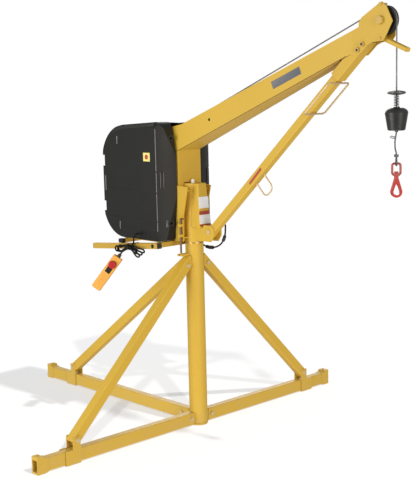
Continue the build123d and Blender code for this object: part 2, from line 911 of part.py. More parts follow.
slope = math.radians(limit_slope)
limit_axis = Vector(math.cos(slope), 0, -math.sin(slope))
pivot = Vector(limit_pivot[0], 0, limit_pivot[1])
arm = box_tube(
    pivot - limit_axis * limit_tail,
    pivot + limit_axis * limit_length,
    (0, 1, 0),
    2 * limit_half,
    limit_depth,
    0,
    3.0,
)
arm -= box_tube(
    pivot + limit_axis * limit_slot_start,
    pivot + limit_axis * (limit_length - limit_wall),
    (0, 1, 0),
    2 * limit_slot_half,
    limit_depth + 10,
    0,
    3.0,
)
arm -= rod((pivot.X, -60, pivot.Z), (pivot.X, 60, pivot.Z), pin_radius + running)
for side in (-1, 1):
    ends = sorted((side * limit_half, side * (cheek_half - free_gap)))
    boss = rod((pivot.X, ends[0], pivot.Z), (pivot.X, ends[1], pivot.Z), 7)
    arm += boss - rod((pivot.X, -60, pivot.Z), (pivot.X, 60, pivot.Z), pin_radius + running)
save("limit_arm", arm)

switch = block(
    (limit_pivot[0] - 44, limit_pivot[0] - 16),
    (limit_half + 1, cheek_half),
    (limit_pivot[1] - 8, limit_pivot[1] + 6),
)
switch = fillet(switch.edges().filter_by(Axis.Y), 2)
save("limit_switch", switch)


# Winch: drum, shaft, rope layer, bearing stand, gearbox, motor and control box
drum_place = (drum_centre[0], 0, drum_centre[1])
flange_start = drum_half - flange_thick
drum = turned(
    [
        (shaft_radius + slip, -drum_half),
        (drum_flange, -drum_half),
        (drum_flange, -flange_start),
        (drum_core, -flange_start),
        (drum_core, flange_start),
        (drum_flange, flange_start),
        (drum_flange, drum_half),
        (shaft_radius + slip, drum_half),
        (shaft_radius + slip, drum_half - 12),
        (drum_core - 8, drum_half - 12),
        (drum_core - 8, -drum_half + 12),
        (shaft_radius + slip, -drum_half + 12),
    ],
    drum_place,
)
save("drum", drum)
shaft_ends = (stand_y[0] - 6, gearbox_y[0] + 40)
drum_axis_low = (drum_centre[0], shaft_ends[0], drum_centre[1])
drum_axis_high = (drum_centre[0], shaft_ends[1], drum_centre[1])
save("drum_shaft", rod(drum_axis_low, drum_axis_high, shaft_radius))
pack = turned(
    [
        (drum_core + slip, -flange_start + 1),
        (pack_radius - free_gap, -flange_start + 1),
        (pack_radius - free_gap, flange_start - 1),
        (drum_core + slip, flange_start - 1),
    ],
    drum_place,
)
save("rope_pack", pack)

stand_outline = [
    (drum_centre[0] - stand_half - 20, plate_top),
    (drum_centre[0] + stand_half + 20, plate_top),
    (drum_centre[0] + stand_half - 15, drum_centre[1] + 38),
    (drum_centre[0] - stand_half + 15, drum_centre[1] + 38),
]
stand = plate_xz(stand_outline, stand_y)
stand -= rod(drum_axis_low, drum_axis_high, shaft_radius + running)
save("bearing_stand", stand)

gearbox_outline = [
    (drum_centre[0] - gearbox_half, gearbox_low),
    (drum_centre[0] + gearbox_half, gearbox_low),
    (drum_centre[0] + gearbox_half, gearbox_top),
    (drum_centre[0] - gearbox_half, gearbox_top),
]
gearbox = plate_xz(gearbox_outline, gearbox_y, gearbox_corner)
gearbox += block(
    (drum_centre[0] - gearbox_half, drum_centre[0] + gearbox_half), gearbox_y, (gearbox_low, gearbox_low + 60)
)
gearbox -= rod(drum_axis_low, (drum_centre[0], shaft_ends[1] + 1, drum_centre[1]), shaft_radius + running)
save("gearbox", gearbox)

motor_low = (motor_centre[0], motor_y[0], motor_centre[1])
motor_high = (motor_centre[0], motor_y[1], motor_centre[1])
motor = rod(motor_low, motor_high, motor_radius - 8)
fin_pitch = (motor_y[1] - motor_y[0] - 30) / motor_fins
for index in range(motor_fins):
    y = motor_y[0] + 20 + index * fin_pitch
    motor += rod((motor_centre[0], y, motor_centre[1]), (motor_centre[0], y + 6, motor_centre[1]), motor_radius)
feet = block(
    (motor_centre[0] - 70, motor_centre[0] + 70), (motor_y[0] + 30, motor_y[1] - 30), (plate_top, motor_centre[1] - 40)
)
motor += feet
save("motor", motor)

control_face = -cover_half + cover_wall + 16
control = block((gland_x - 128, gland_x + 57), (control_face, control_face + 38), (plate_top, plate_top + 190))
control = fillet(control.edges().filter_by(Axis.Y), 8)
save("control_box", control)


# Platform under the winch
bar_tilt = math.radians(bar_slope)
bar_axis = Vector(-math.cos(bar_tilt), 0, -math.sin(bar_tilt))


def bar_height(x):
    """Height of a push bar's centre line."""
    return bar_front_height + (x - bar_front) * math.tan(bar_tilt)


bars = []
plugs = []
for side in (-1, 1):
    front = Vector(bar_front, side * bar_y, bar_front_height)
    back = front + bar_axis * bar_length
    bars.append(box_tube(front, back, (0, 1, 0), bar_side, bar_side, bar_wall, 3.0))
    inner = bar_side - 2 * bar_wall - 2 * slip
    for end, out in ((front, -bar_axis), (back, bar_axis)):
        plug = box_tube(end - out * 12, end, (0, 1, 0), inner, inner, 0, 1.5)
        plugs.append(plug + box_tube(end, end + out * 3, (0, 1, 0), bar_side - 1, bar_side - 1, 0, 3.0))
inner_face = bar_y - bar_side / 2
half = crossbar / 2
front_bar = box_tube(
    (front_crossbar_x, -inner_face, crossbar_top - half),
    (front_crossbar_x, inner_face, crossbar_top - half),
    (1, 0, 0),
    crossbar,
    crossbar,
    bar_wall,
    3.0,
)
rear_low = bar_height(rear_crossbar_x + half) + bar_side / 2 / math.cos(bar_tilt) + free_gap
rear_bar = block(
    (rear_crossbar_x - half, rear_crossbar_x + half), (-bar_y - 12, bar_y + 12), (rear_low, crossbar_top)
)
rear_bar = fillet(rear_bar.edges().filter_by(Axis.Y), 2.5)
save("platform_frame", *bars, front_bar, rear_bar)
save("platform_plugs", *plugs)
winch_plate = block((plate_back, plate_front), (-plate_half, plate_half), (plate_low, plate_top))
save("winch_plate", winch_plate)


# Cover: the meeting of three outlines, hollowed and parted near its swelling front
def cover_body(inset):
    """The moulded cover's outer form, drawn in by a wall."""
    back = cover_back + inset
    half = cover_half - inset
    low = cover_low + inset
    high = cover_high - inset
    profile = [
        (cover_front_low - inset, -200, low),
        (cover_front_swell - inset, -200, cover_low + swell_foot),
        (cover_front_swell - inset, -200, cover_high - swell_head),
        (cover_front_high - inset, -200, high),
        (back, -200, high - cover_rear_fall),
        (back, -200, low),
    ]
    radii = [
        cover_toe_radius,
        swell_radius,
        swell_radius,
        cover_front_radius - inset,
        cover_top_radius - inset,
        cover_low_radius - inset,
    ]
    side = extrude(make_face(FilletPolyline(*profile, radius=radii, close=True)), amount=400, dir=(0, 1, 0))
    bevel = cover_bevel
    across = [
        (0, -half, low),
        (0, half, low),
        (0, half, high - cover_far_fall - bevel),
        (0, half - bevel, high - cover_far_fall),
        (0, -half + bevel, high),
        (0, -half, high - bevel),
    ]
    section = extrude(make_face(Polyline(*across, close=True)), amount=-600, dir=(1, 0, 0))
    corner = cover_corner - inset
    rear = FilletPolyline(
        (corner, half, 800), (back, half, 800), (back, -half, 800), (corner, -half, 800), radius=cover_rear_round
    )
    front = ThreePointArc((corner, -half, 800), (cover_nose - inset, 0, 800), (corner, half, 800))
    plan = extrude(make_face(Wire(rear.edges() + front.edges())), amount=800, dir=(0, 0, 1))
    form = section & plan & side
    for floor, ceiling in cover_grooves:
        form -= block((back - 1, cover_back + groove_depth + inset), (-200, 200), (floor - inset, ceiling + inset))
    return form


def panel_face(y, z):
    """Where the front of the cover lies at a width and a height."""
    sag = cover_nose - cover_corner
    radius = (cover_half**2 + sag**2) / (2 * sag)
    round_plan = cover_nose - radius + math.sqrt(radius**2 - y**2)
    if z > cover_high - swell_head:
        share = (cover_high - z) / swell_head
        return min(round_plan, cover_front_high + share * (cover_front_swell - cover_front_high))
    share = min((z - cover_low) / swell_foot, 1.0)
    return min(round_plan, cover_front_low + share * (cover_front_swell - cover_front_low))


cover = cover_body(0) - cover_body(cover_wall)
opening = plate_half + 2
cover -= block(
    (plate_back - 2, plate_front + 2), (-opening, opening), (cover_low - 1, cover_low + 2 * cover_wall + 2)
)
slot = block((cover_slot_back, 0), (-cover_slot_half, cover_slot_half), (cover_low - 20, cover_high + 20))
cover -= slot
cover -= rod((gland_x, -200, gland_height), (gland_x, -150, gland_height), gland_neck + slip)
cover_span = (cover_low - 20, cover_high + 20)
front_part = block((cover_parting + slip, 0), (-cover_half - 20, cover_half + 20), cover_span)
rear_part = block((cover_back - 20, cover_parting), (-cover_half - 20, cover_half + 20), cover_span)
panels = cover & front_part
screws = []
screw_places = [
    (panel_screw_high[0], cover_high - panel_screw_high[1]),
    (panel_screw_low[0], cover_low + panel_screw_low[1]),
]
for y, z in screw_places:
    seat = panel_face(y, z) - screw_seat_depth
    for side in (-1, 1):
        panels -= rod((seat, side * y, z), (20, side * y, z), screw_seat_radius)
        panels -= rod((seat - 20, side * y, z), (20, side * y, z), screw_radius + slip)
        screw = rod((seat - 14, side * y, z), (seat, side * y, z), screw_radius)
        head = Plane(origin=(seat, side * y, z), z_dir=(1, 0, 0))
        screws.append(screw + extrude(head * Circle(6), amount=3, taper=20))
save("front_panels", panels)
save("rear_cover", cover & rear_part)
save("cover_screws", *screws)


# Hoist rope: the run from drum to sheave with its wrap, and the free fall
drum_pull = pack_radius + rope_radius
between = Vector(sheave_centre[0] - drum_centre[0], 0, sheave_centre[1] - drum_centre[1])
lift = math.atan2(between.Z, between.X) - math.asin((drum_pull - rope_pitch) / between.length)
normal = Vector(-math.sin(lift), 0, math.cos(lift))
leave = Vector(drum_centre[0], 0, drum_centre[1]) + normal * drum_pull
touch = Vector(sheave_centre[0], 0, sheave_centre[1]) + normal * rope_pitch
fall_start = Vector(rope_x, 0, sheave_centre[1])
run_path = Wire([Line(leave, touch), TangentArc(touch, fall_start, tangent=touch - leave)])
run_section = Plane(origin=leave, z_dir=touch - leave) * Circle(rope_radius)
save("rope_run", sweep(run_section, path=run_path))
save("rope_fall", rod((rope_x, 0, fall_end), (rope_x, 0, sheave_centre[1]), rope_radius))
print(f"rope lift {math.degrees(lift):.2f} deg, fall at X {rope_x:.1f}")


# Hanging gear, drawn on the Z axis and moved under the sheave
under = Pos(rope_x, 0, 0)
bore = rope_radius + hole_play
half = disc_thick / 2
disc_points = [
    (bore, disc_height - half),
    (spring_radius + 3, disc_height - half),
    (disc_radius - 4, disc_height - 5),
    (disc_radius, disc_height - 2),
    (disc_radius, disc_height + 2),
    (disc_radius - 4, disc_height + 5),
    (12, disc_height + half),
    (bore, disc_height + half),
]
save("striker_disc", under * turned(disc_points, (0, 0, 0), axis_y=False))

spring_span = spring_high - spring_low - 2 * spring_wire - 2 * slip
quarters = 4 * spring_turns
rise = spring_span / quarters
stations = []
for index in range(quarters + 1):
    angle = index * math.pi / 2
    place = Vector(
        spring_radius * math.cos(angle),
        spring_radius * math.sin(angle),
        spring_low + spring_wire + slip + index * rise,
    )
    climb = 0.0 if index in (0, quarters) else rise / (spring_radius * math.pi / 2)
    heading = Vector(-math.sin(angle), math.cos(angle), climb)
    stations.append((place, heading.normalized()))
lead = 2 * spring_wire
stations.insert(0, (stations[0][0] - stations[0][1] * lead, stations[0][1]))
stations.append((stations[-1][0] + stations[-1][1] * lead, stations[-1][1]))
spring, spring_path = wound_tube(stations, spring_wire)
print(f"spring gap {least_gap(spring_path, spring_wire, 40):.2f} mm, length {spring_path.length:.0f} mm")
save("buffer_spring", under * spring)

shoulder = 14.0
weight_points = [
    (bore, weight_low),
    (weight_low_radius - 4, weight_low),
    (weight_low_radius, weight_low + 4),
    (weight_top_radius, weight_top - shoulder - 4),
    (weight_top_radius - 2, weight_top - shoulder + 2),
    (weight_top_radius - 8, weight_top - 5),
    (weight_top_radius - 18, weight_top),
    (spring_radius + 4, weight_top),
    (spring_radius + 3, spring_low),
    (bore, spring_low),
]
save("hook_weight", under * turned(weight_points, (0, 0, 0), axis_y=False))

turn_hook = under * Rot(0, 0, hook_turn)
eye_low = bail_top - bail_rod - rope_radius - free_gap
eye_half = bail_rod + rope_radius + 2.5
tail = bent_rod(
    [
        (0, 0, fall_end),
        (0, 0, weight_low - 7),
        (-6, 0, weight_low - 43),
        (-5, 0, bail_top + 60),
        (0, -3.6, bail_top + 37),
        (0, -3.6, bail_top + 25),
        (0, -eye_half, bail_top + 8),
        (0, -eye_half + 1, eye_low),
        (0, eye_half - 1, eye_low),
        (0, eye_half, bail_top + 8),
        (0, 3.6, bail_top + 25),
        (0, 3.6, bail_top + 39),
    ],
    rope_radius,
    5.5,
)
save("rope_tail", turn_hook * tail)

ferrule = ring(7.0, rope_radius + slip, weight_low - 6, weight_low)
clamp = block((-8, 8), (-10, 10), (bail_top + 26, bail_top + 36))
clamp = fillet(clamp.edges().filter_by(Axis.Z), 3)
for side in (-1, 1):
    clamp -= rod((0, side * 3.6, bail_top + 15), (0, side * 3.6, bail_top + 45), rope_radius + 0.25)
save("rope_clips", turn_hook * ferrule, turn_hook * clamp)

bail_path = [
    (0, 0, bail_top),
    (-bail_half, 0, bail_top),
    (-bail_half, 0, bail_low),
    (-6, 0, bail_low - 2),
]
loop_left = bent_rod(bail_path, bail_rod, 8.0)
bail = loop_left + mirror(loop_left, about=Plane.YZ)
bail += Pos(0, 0, bail_low - 7) * extrude(RectangleRounded(26, 20, 5), amount=12)
bail -= post_hole(stem_radius + running, bail_low - 20, bail_low + 6)
save("hook_bail", turn_hook * bail)


def hook_outline(ring_radius, neck_half, neck_top):
    """A drop shape: a round bowl narrowing to a neck, in the XZ plane."""
    cx, cz = hook_ring
    tilt = math.asin((ring_radius - neck_half) / (neck_top - cz))
    px = ring_radius * math.cos(tilt)
    pz = ring_radius * math.sin(tilt)
    right = (cx + px, 0, cz + pz)
    left = (cx - px, 0, cz + pz)
    bottom = (cx, 0, cz - ring_radius)
    edges = [
        ThreePointArc(left, bottom, right),
        Line(right, (cx + neck_half, 0, neck_top)),
        Line((cx + neck_half, 0, neck_top), (cx - neck_half, 0, neck_top)),
        Line((cx - neck_half, 0, neck_top), left),
    ]
    return make_face(Wire(edges))


def hook_slab(face, thick):
    """A hook face given its thickness either side of the hook's plane."""
    return extrude(face, amount=thick / 2, dir=(0, 1, 0), both=True)


neck_top = bail_low - 7 - free_gap
stem = rod((0, 0, hook_neck - 4), (0, 0, bail_low + 9), stem_radius)
stem += rod((0, 0, bail_low + 5 + free_gap), (0, 0, bail_low + 11), 8)
stem += rod((0, 0, hook_neck - 4), (0, 0, neck_top), 9)
drop = hook_slab(hook_outline(hook_ring_radius, 9.0, hook_neck), hook_thick)
drop -= hook_slab(hook_outline(hook_eye_radius, 3.0, latch_pin[1] - 9), hook_thick + 2)
hook_floor = hook_ring[1] - hook_ring_radius - 10
jaw_side = plate_xz(
    [
        (-40, hook_floor),
        (40, hook_floor),
        (40, latch_pin[1]),
        latch_pin,
        (latch_pin[0] - 4, latch_pin[1] - 8),
        (2, hook_ring[1] + 13),
        (-6, hook_ring[1] - 6),
        (-40, hook_ring[1] - 10),
    ],
    (-20, 20),
)
pin_axis = ((latch_pin[0], -30, latch_pin[1]), (latch_pin[0], 30, latch_pin[1]))
jaw_side -= rod(*pin_axis, knuckle_radius + hole_play)
jaw = drop & jaw_side
tongue_half = 3.6
tongue = rod((latch_pin[0], -tongue_half, latch_pin[1]), (latch_pin[0], tongue_half, latch_pin[1]), 6.5)
tongue += block((latch_pin[0] - 4, latch_pin[0] + 6.5), (-tongue_half, tongue_half), (latch_pin[1] - 14, latch_pin[1]))
jaw += tongue
jaw -= rod(*pin_axis, 2.5 + running)
body = Part() + drop
body += stem
slot_half = tongue_half + free_gap
body -= rod((latch_pin[0], -slot_half, latch_pin[1]), (latch_pin[0], slot_half, latch_pin[1]), 7.2)
body -= block((latch_pin[0] - 5, 40), (-slot_half, slot_half), (hook_floor, latch_pin[1]))
clearance = plate_xz(
    [
        (-41, hook_ring[1] - 10 + hole_play),
        (-6.4, hook_ring[1] - 6 + hole_play),
        (2 - hole_play, hook_ring[1] + 13.2),
        (latch_pin[0] - 4 - hole_play, latch_pin[1] - 8),
        (latch_pin[0] - hole_play, latch_pin[1]),
        (latch_pin[0] - hole_play, latch_pin[1] + 6),
        (41, latch_pin[1] + 6),
        (41, hook_floor - 10),
        (-41, hook_floor - 10),
    ],
    (-20, 20),
)
body -= clearance - rod(*pin_axis, knuckle_radius)
body += rod((latch_pin[0], -hook_thick / 2, latch_pin[1]), (latch_pin[0], hook_thick / 2, latch_pin[1]), 2.5)
save("hook_body", turn_hook * body)
save("hook_jaw", turn_hook * jaw)


# Pendant control, drawn hanging down its own -Z axis with its face along +X
pendant_plane = Plane(origin=pendant_top, x_dir=pendant_face, z_dir=-pendant_axis)
place_pendant = pendant_plane.location
case = Pos(0, 0, -pendant_length) * extrude(RectangleRounded(pendant_depth, pendant_width, 7), amount=pendant_length)
case = fillet(case.edges().group_by(Axis.Z)[0] + case.edges().group_by(Axis.Z)[-1], 5)
face_x = pendant_depth / 2
case -= rod((face_x - 10, 0, -estop_drop), (face_x + 1, 0, -estop_drop), 8)
rocker_half = 10.5
rocker_high = 13.0
case -= block((face_x - 12, face_x + 1), (-rocker_half, rocker_half), (-rocker_drop - rocker_high, -rocker_drop + rocker_high))
save("pendant_case", place_pendant * case)
button = rod((face_x - 5, 0, -estop_drop), (face_x + 7, 0, -estop_drop), 8 - running)
cap = rod((face_x + 6, 0, -estop_drop), (face_x + 18, 0, -estop_drop), estop_radius)
button += fillet(cap.edges(), 3)
save("estop_button", place_pendant * button)
rocker = rod(
    (face_x - 4, -rocker_half + free_gap, -rocker_drop), (face_x - 4, rocker_half - free_gap, -rocker_drop), 7
)
rocker += plate_xz(
    [
        (face_x - 4, -rocker_drop - 10),
        (face_x + 5, -rocker_drop - 11),
        (face_x + 2, -rocker_drop),
        (face_x + 5, -rocker_drop + 11),
        (face_x - 4, -rocker_drop + 10),
    ],
    (-rocker_half + free_gap, rocker_half - free_gap),
)
save("rocker_switch", place_pendant * rocker)

relief = extrude(Circle(relief_radius), amount=relief_length, taper=8)
gland = rod((gland_x, -cover_half, gland_height), gland_end, gland_radius)
gland += rod((gland_x, -cover_half + cover_wall + 4, gland_height), gland_end, gland_neck)
switch_height = strut_point(switch_gland_x).Z
switch_gland = rod(
    (switch_gland_x, strut_width / 2, switch_height),
    (switch_gland_x, strut_width / 2 + switch_gland_length, switch_height),
    switch_gland_radius,
)
bar_face = front_crossbar_x + crossbar / 2
bar_gland = rod(
    (bar_face, bar_gland_y, bar_gland_height),
    (bar_face + bar_gland_length, bar_gland_y, bar_gland_height),
    switch_gland_radius,
)
save("cable_glands", place_pendant * relief, gland, switch_gland, bar_gland)


# Cables: straight runs and tangent bends, with a tied hank between the two pendant stretches
def cable(places, radius):
    """A cable whose bends are as wide as its straight runs allow, and its tightest bend."""
    bends = []
    for before, corner, after in zip(places, places[1:], places[2:]):
        into = corner - before
        away = after - corner
        half_turn = math.radians(into.get_angle(away)) / 2
        bends.append(0.45 * min(into.length, away.length) / math.tan(half_turn))
    path = FilletPolyline(*places, radius=bends)
    tube = sweep(Plane(origin=path @ 0, z_dir=path % 0) * Circle(radius), path=path)
    print(f"cable length {path.length:.0f} mm, bends {[round(bend) for bend in bends]} mm")
    return tube


def hank_stations():
    """Points and directions of the loops, which hang either side of the tied waist."""
    cx, cz = hank_centre
    away = Vector(1, 0, 0)
    home = Vector(-1, 0, 0)
    down = Vector(0, 0, -1)
    rise = Vector(0, 0, 1)
    places = [(gland_end + Vector(*pendant_drop[-1]), home)]
    for index, (left, left_drop, right, right_drop) in enumerate(hank_loops):
        y = hank_first_y - index * hank_step
        later = y - hank_step
        if index:
            places.append((Vector(cx, y, cz + hank_waist_half), home))
        low = cz - left_drop
        places.append((Vector(cx + left + hank_left_half, y, low + hank_left_half), home))
        places.append((Vector(cx + left, y, low), down))
        places.append((Vector(cx + left + hank_left_half, y, low - hank_left_half), away))
        places.append((Vector(cx, y, cz - hank_waist_half), away))
        low = cz - right_drop
        places.append((Vector(cx + right - hank_right_half, y, low - hank_right_half), away))
        places.append((Vector(cx + right, (y + later) / 2, low), rise))
        places.append((Vector(cx + right - hank_right_half, later, low + hank_right_half), home))
    places.append((gland_end + Vector(*pendant_lead[0]), home))
    return places


hank, hank_path = wound_tube(hank_stations(), cable_radius)
print(f"hank gap {least_gap(hank_path, cable_radius, 60):.2f} mm, length {hank_path.length:.0f} mm")
save("cable_hank", hank)
drop_places = [gland_end + Vector(*point) for point in pendant_drop]
lead_places = [gland_end + Vector(*point) for point in pendant_lead]
save("pendant_cable", cable(drop_places, cable_radius), cable(lead_places, cable_radius))
switch_end = Vector(switch_gland_x, strut_width / 2 + switch_gland_length, switch_height)
bar_end = Vector(bar_face + bar_gland_length, bar_gland_y, bar_gland_height)
limit_places = [switch_end, switch_end + Vector(0, limit_lead_start, 0)]
limit_places += [Vector(*point) for point in limit_lead]
limit_places += [bar_end + Vector(limit_lead_finish, 0, 0), bar_end]
save("limit_cable", cable(limit_places, cable_radius))

bar_rise = bar_side / 2 / math.cos(bar_tilt) + slip
tie_middle = hank_centre[0] + tie_shift
tie_x = (tie_middle - tie_width / 2, tie_middle + tie_width / 2)
tie_top = bar_height(tie_x[1]) + bar_rise
tie_low = bar_height(tie_x[0]) - bar_rise
tie_inner = -bar_y + bar_side / 2 + slip
tie_outer = hank_first_y - len(hank_loops) * hank_step - cable_radius - free_gap
hank_low = hank_centre[1] - hank_waist_half - cable_radius - free_gap
strap = [
    (tie_x[0], tie_inner, tie_top),
    (tie_x[0], tie_outer, tie_top),
    (tie_x[0], tie_outer, hank_low),
    (tie_x[0], -bar_y - bar_side / 2 - slip, tie_low),
    (tie_x[0], tie_inner, tie_low),
]
inside = make_face(FilletPolyline(*strap, radius=tie_corner, close=True))
outside = offset(inside, amount=tie_thick)
save("hank_tie", extrude(outside - inside, amount=tie_width, dir=(1, 0, 0)))
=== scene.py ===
import json
import logging
import math
from dataclasses import dataclass
from enum import Enum
from typing import Callable, Sequence

import bpy
from mathutils import Euler, Matrix, Vector


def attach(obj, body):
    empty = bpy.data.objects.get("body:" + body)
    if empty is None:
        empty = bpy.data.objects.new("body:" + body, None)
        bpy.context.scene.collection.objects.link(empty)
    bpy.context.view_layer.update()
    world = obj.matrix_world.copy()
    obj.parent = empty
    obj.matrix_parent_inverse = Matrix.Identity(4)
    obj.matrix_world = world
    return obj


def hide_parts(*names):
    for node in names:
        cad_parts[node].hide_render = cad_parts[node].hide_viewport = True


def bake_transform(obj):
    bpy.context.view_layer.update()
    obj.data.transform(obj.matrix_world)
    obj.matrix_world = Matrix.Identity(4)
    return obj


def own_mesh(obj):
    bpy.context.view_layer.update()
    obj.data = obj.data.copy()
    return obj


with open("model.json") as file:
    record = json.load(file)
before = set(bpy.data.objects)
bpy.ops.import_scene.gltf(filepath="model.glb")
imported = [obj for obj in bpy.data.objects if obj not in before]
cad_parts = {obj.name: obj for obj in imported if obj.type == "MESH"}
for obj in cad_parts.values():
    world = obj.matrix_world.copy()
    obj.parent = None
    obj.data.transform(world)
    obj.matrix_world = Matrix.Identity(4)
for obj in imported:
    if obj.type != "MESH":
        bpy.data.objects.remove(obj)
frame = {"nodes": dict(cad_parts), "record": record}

logging.basicConfig(level=logging.INFO, format="%(message)s")
log = logging.getLogger("crane")

Point = tuple[float, float, float]
Colour = tuple[float, float, float]
Pair = tuple[float, float]

WHITE = (1.0, 1.0, 1.0, 1.0)
SIDES = (-1, 1)
ALONG_X = (1, 0, 0)
NEAR_SIDE = (0, -1, 0)
UPRIGHT = (0, 0, 1)


class Grain(Enum):
    """The fine structure that a finish carries in its bump."""

    PEEL = "peel"
    MOULD = "mould"
    CAST = "cast"
    DRAWN = "drawn"
    LAY = "lay"
    BEAD = "bead"


class Slot(Enum):
    """The record's material slots."""

    YELLOW = "yellow_paint"
    BAR = "bar_paint"
    COVER = "cover_plastic"
    ZINC = "zinc_steel"
    STEEL = "bare_steel"
    ROPE = "wire_rope"
    IRON = "weight_iron"
    MACHINE = "machine_grey"
    RED = "hook_red"
    PENDANT = "pendant_yellow"
    RUBBER = "black_rubber"
    CABLE = "cable_black"
    BLACK = "black_plastic"
    STOP = "stop_red"
    BRONZE = "bronze"
    WHITE = "white_plastic"
    SHEAVE = "sheave_black"


class Sock:
    """A node's output that takes part in arithmetic by adding math nodes."""

    def __init__(self, graph: "Graph", socket: bpy.types.NodeSocket) -> None:
        """Keep the output and the graph that it belongs to."""
        self.graph = graph
        self.socket = socket

    def _math(self, operation: str, first: "Sock | float", second: "Sock | float" = 0.0) -> "Sock":
        """The result of one math node."""
        return self.graph.out("ShaderNodeMath", {"operation": operation}, {0: first, 1: second})

    def __add__(self, other: "Sock | float") -> "Sock":
        """The sum."""
        return self._math("ADD", self, other)

    def __radd__(self, other: float) -> "Sock":
        """The sum with a number in front."""
        return self._math("ADD", other, self)

    def __sub__(self, other: "Sock | float") -> "Sock":
        """The difference."""
        return self._math("SUBTRACT", self, other)

    def __rsub__(self, other: float) -> "Sock":
        """The difference from a number in front."""
        return self._math("SUBTRACT", other, self)

    def __mul__(self, other: "Sock | float") -> "Sock":
        """The product."""
        return self._math("MULTIPLY", self, other)

    def __rmul__(self, other: float) -> "Sock":
        """The product with a number in front."""
        return self._math("MULTIPLY", other, self)

    def sine(self) -> "Sock":
        """The sine of the value."""
        return self._math("SINE", self)

    def within(self) -> "Sock":
        """The value held between 0 and 1."""
        return self.graph.out("ShaderNodeClamp", {}, {"Value": self})


class Graph:
    """One material's nodes, each added by its type, settings and inputs."""

    def __init__(self, name: str) -> None:
        """Start an empty material.

        Args:
            name: the material's name.
        """
        self.material = bpy.data.materials.new(name)
        self.material.use_nodes = True
        self.tree = self.material.node_tree
        self.tree.nodes.clear()

    def node(self, kind: str, settings: dict | None = None, inputs: dict | None = None) -> bpy.types.Node:
        """Add any node.

        Args:
            kind: the node's type name.
            settings: properties of the node, which are set first.
            inputs: values or outputs by the input's name or number.

        Returns:
            The node.
        """
        node = self.tree.nodes.new(kind)
        for key, value in (settings or {}).items():
            setattr(node, key, value)
        for key, value in (inputs or {}).items():
            if isinstance(value, Sock):
                self.tree.links.new(value.socket, node.inputs[key])
            else:
                node.inputs[key].default_value = value
        return node

    def out(
        self, kind: str, settings: dict | None = None, inputs: dict | None = None, take: int | str = 0
    ) -> Sock:
        """As node, but returns the output that take names."""
        return Sock(self, self.node(kind, settings, inputs).outputs[take])

    def place(self) -> Sock:
        """The point in the object's own metres."""
        return self.out("ShaderNodeTexCoord", take="Object")

    def axes(self) -> tuple[Sock, ...]:
        """The three parts of the point."""
        node = self.node("ShaderNodeSeparateXYZ", {}, {0: self.place()})
        return tuple(Sock(self, output) for output in node.outputs)

    def noise(
        self, scale: float, detail: float = 3.0, roughness: float = 0.5, stretch: Point = (1, 1, 1)
    ) -> Sock:
        """Noise from 0 to 1.

        Args:
            scale: its cells to the metre.
            detail: how many finer layers it has.
            roughness: how strong these are.
            stretch: factors along the axes.

        Returns:
            The noise.
        """
        mapped = self.out("ShaderNodeMapping", {}, {"Vector": self.place(), "Scale": stretch})
        inputs = {"Vector": mapped, "Scale": scale, "Detail": detail, "Roughness": roughness}
        return self.out("ShaderNodeTexNoise", {}, inputs)

    def mix(self, factor: Sock | float, first: Sock | Colour, second: Sock | Colour) -> Sock:
        """A mixture of two colours.

        Args:
            factor: share of the second colour.
            first: one colour.
            second: the other.

        Returns:
            The mixed colour.
        """
        pair = [colour if isinstance(colour, Sock) else (*colour, 1.0) for colour in (first, second)]
        factor_at, first_at, second_at, result_at = 0, 6, 7, 2
        inputs = {factor_at: factor, first_at: pair[0], second_at: pair[1]}
        return self.out("ShaderNodeMix", {"data_type": "RGBA"}, inputs, take=result_at)

    def finish(self, inputs: dict) -> bpy.types.Material:
        """Close the material.

        Args:
            inputs: the surface shader's inputs.

        Returns:
            The finished material.
        """
        shader = self.out("ShaderNodeBsdfPrincipled", {}, inputs)
        self.node("ShaderNodeOutputMaterial", {}, {"Surface": shader})
        return self.material


# Scale, detail, roughness and stretch of the grains that are plain noise
GRAIN_NOISE: dict[Grain, tuple] = {
    Grain.PEEL: (420.0, 2.0, 0.45),
    Grain.MOULD: (1500.0, 2.0, 0.5),
    Grain.CAST: (320.0, 5.0, 0.65),
    Grain.DRAWN: (260.0, 4.0, 0.6, (0.15, 1.0, 1.0)),
}
# Waves to the metre, times 2 pi, of the grains that run in lines
LAY_WAVE = 900.0
LAY_SKEW = 700.0
BEAD_WAVE = 1500.0
# Scale of the noise on a weld's bead
BEAD_NOISE = 400.0
RELIEF_DEPTH = 0.0006
COAT_ROUGHNESS = 0.2
# The middle of a noise that runs from 0 to 1
MIDDLE = 0.5
# Patches of another tint, with finer ones on them
PATCH_START = 0.35
PATCH_GAIN = 1.6
PATCH_ROUGH = 0.16
FINE_SCALE = 22.0
FINE_GAIN = 0.35
FINE_ROUGH = 0.08
# Dust that lies on what is close to the floor
DUST_TOP = 0.16
DUST_FADE = 6.0
DUST_SCALE = 18.0
DUST_START = 0.35
DUST_GAIN = 2.6
DUST_ROUGH = 0.2
DUST_COLOUR = (0.42, 0.36, 0.28)


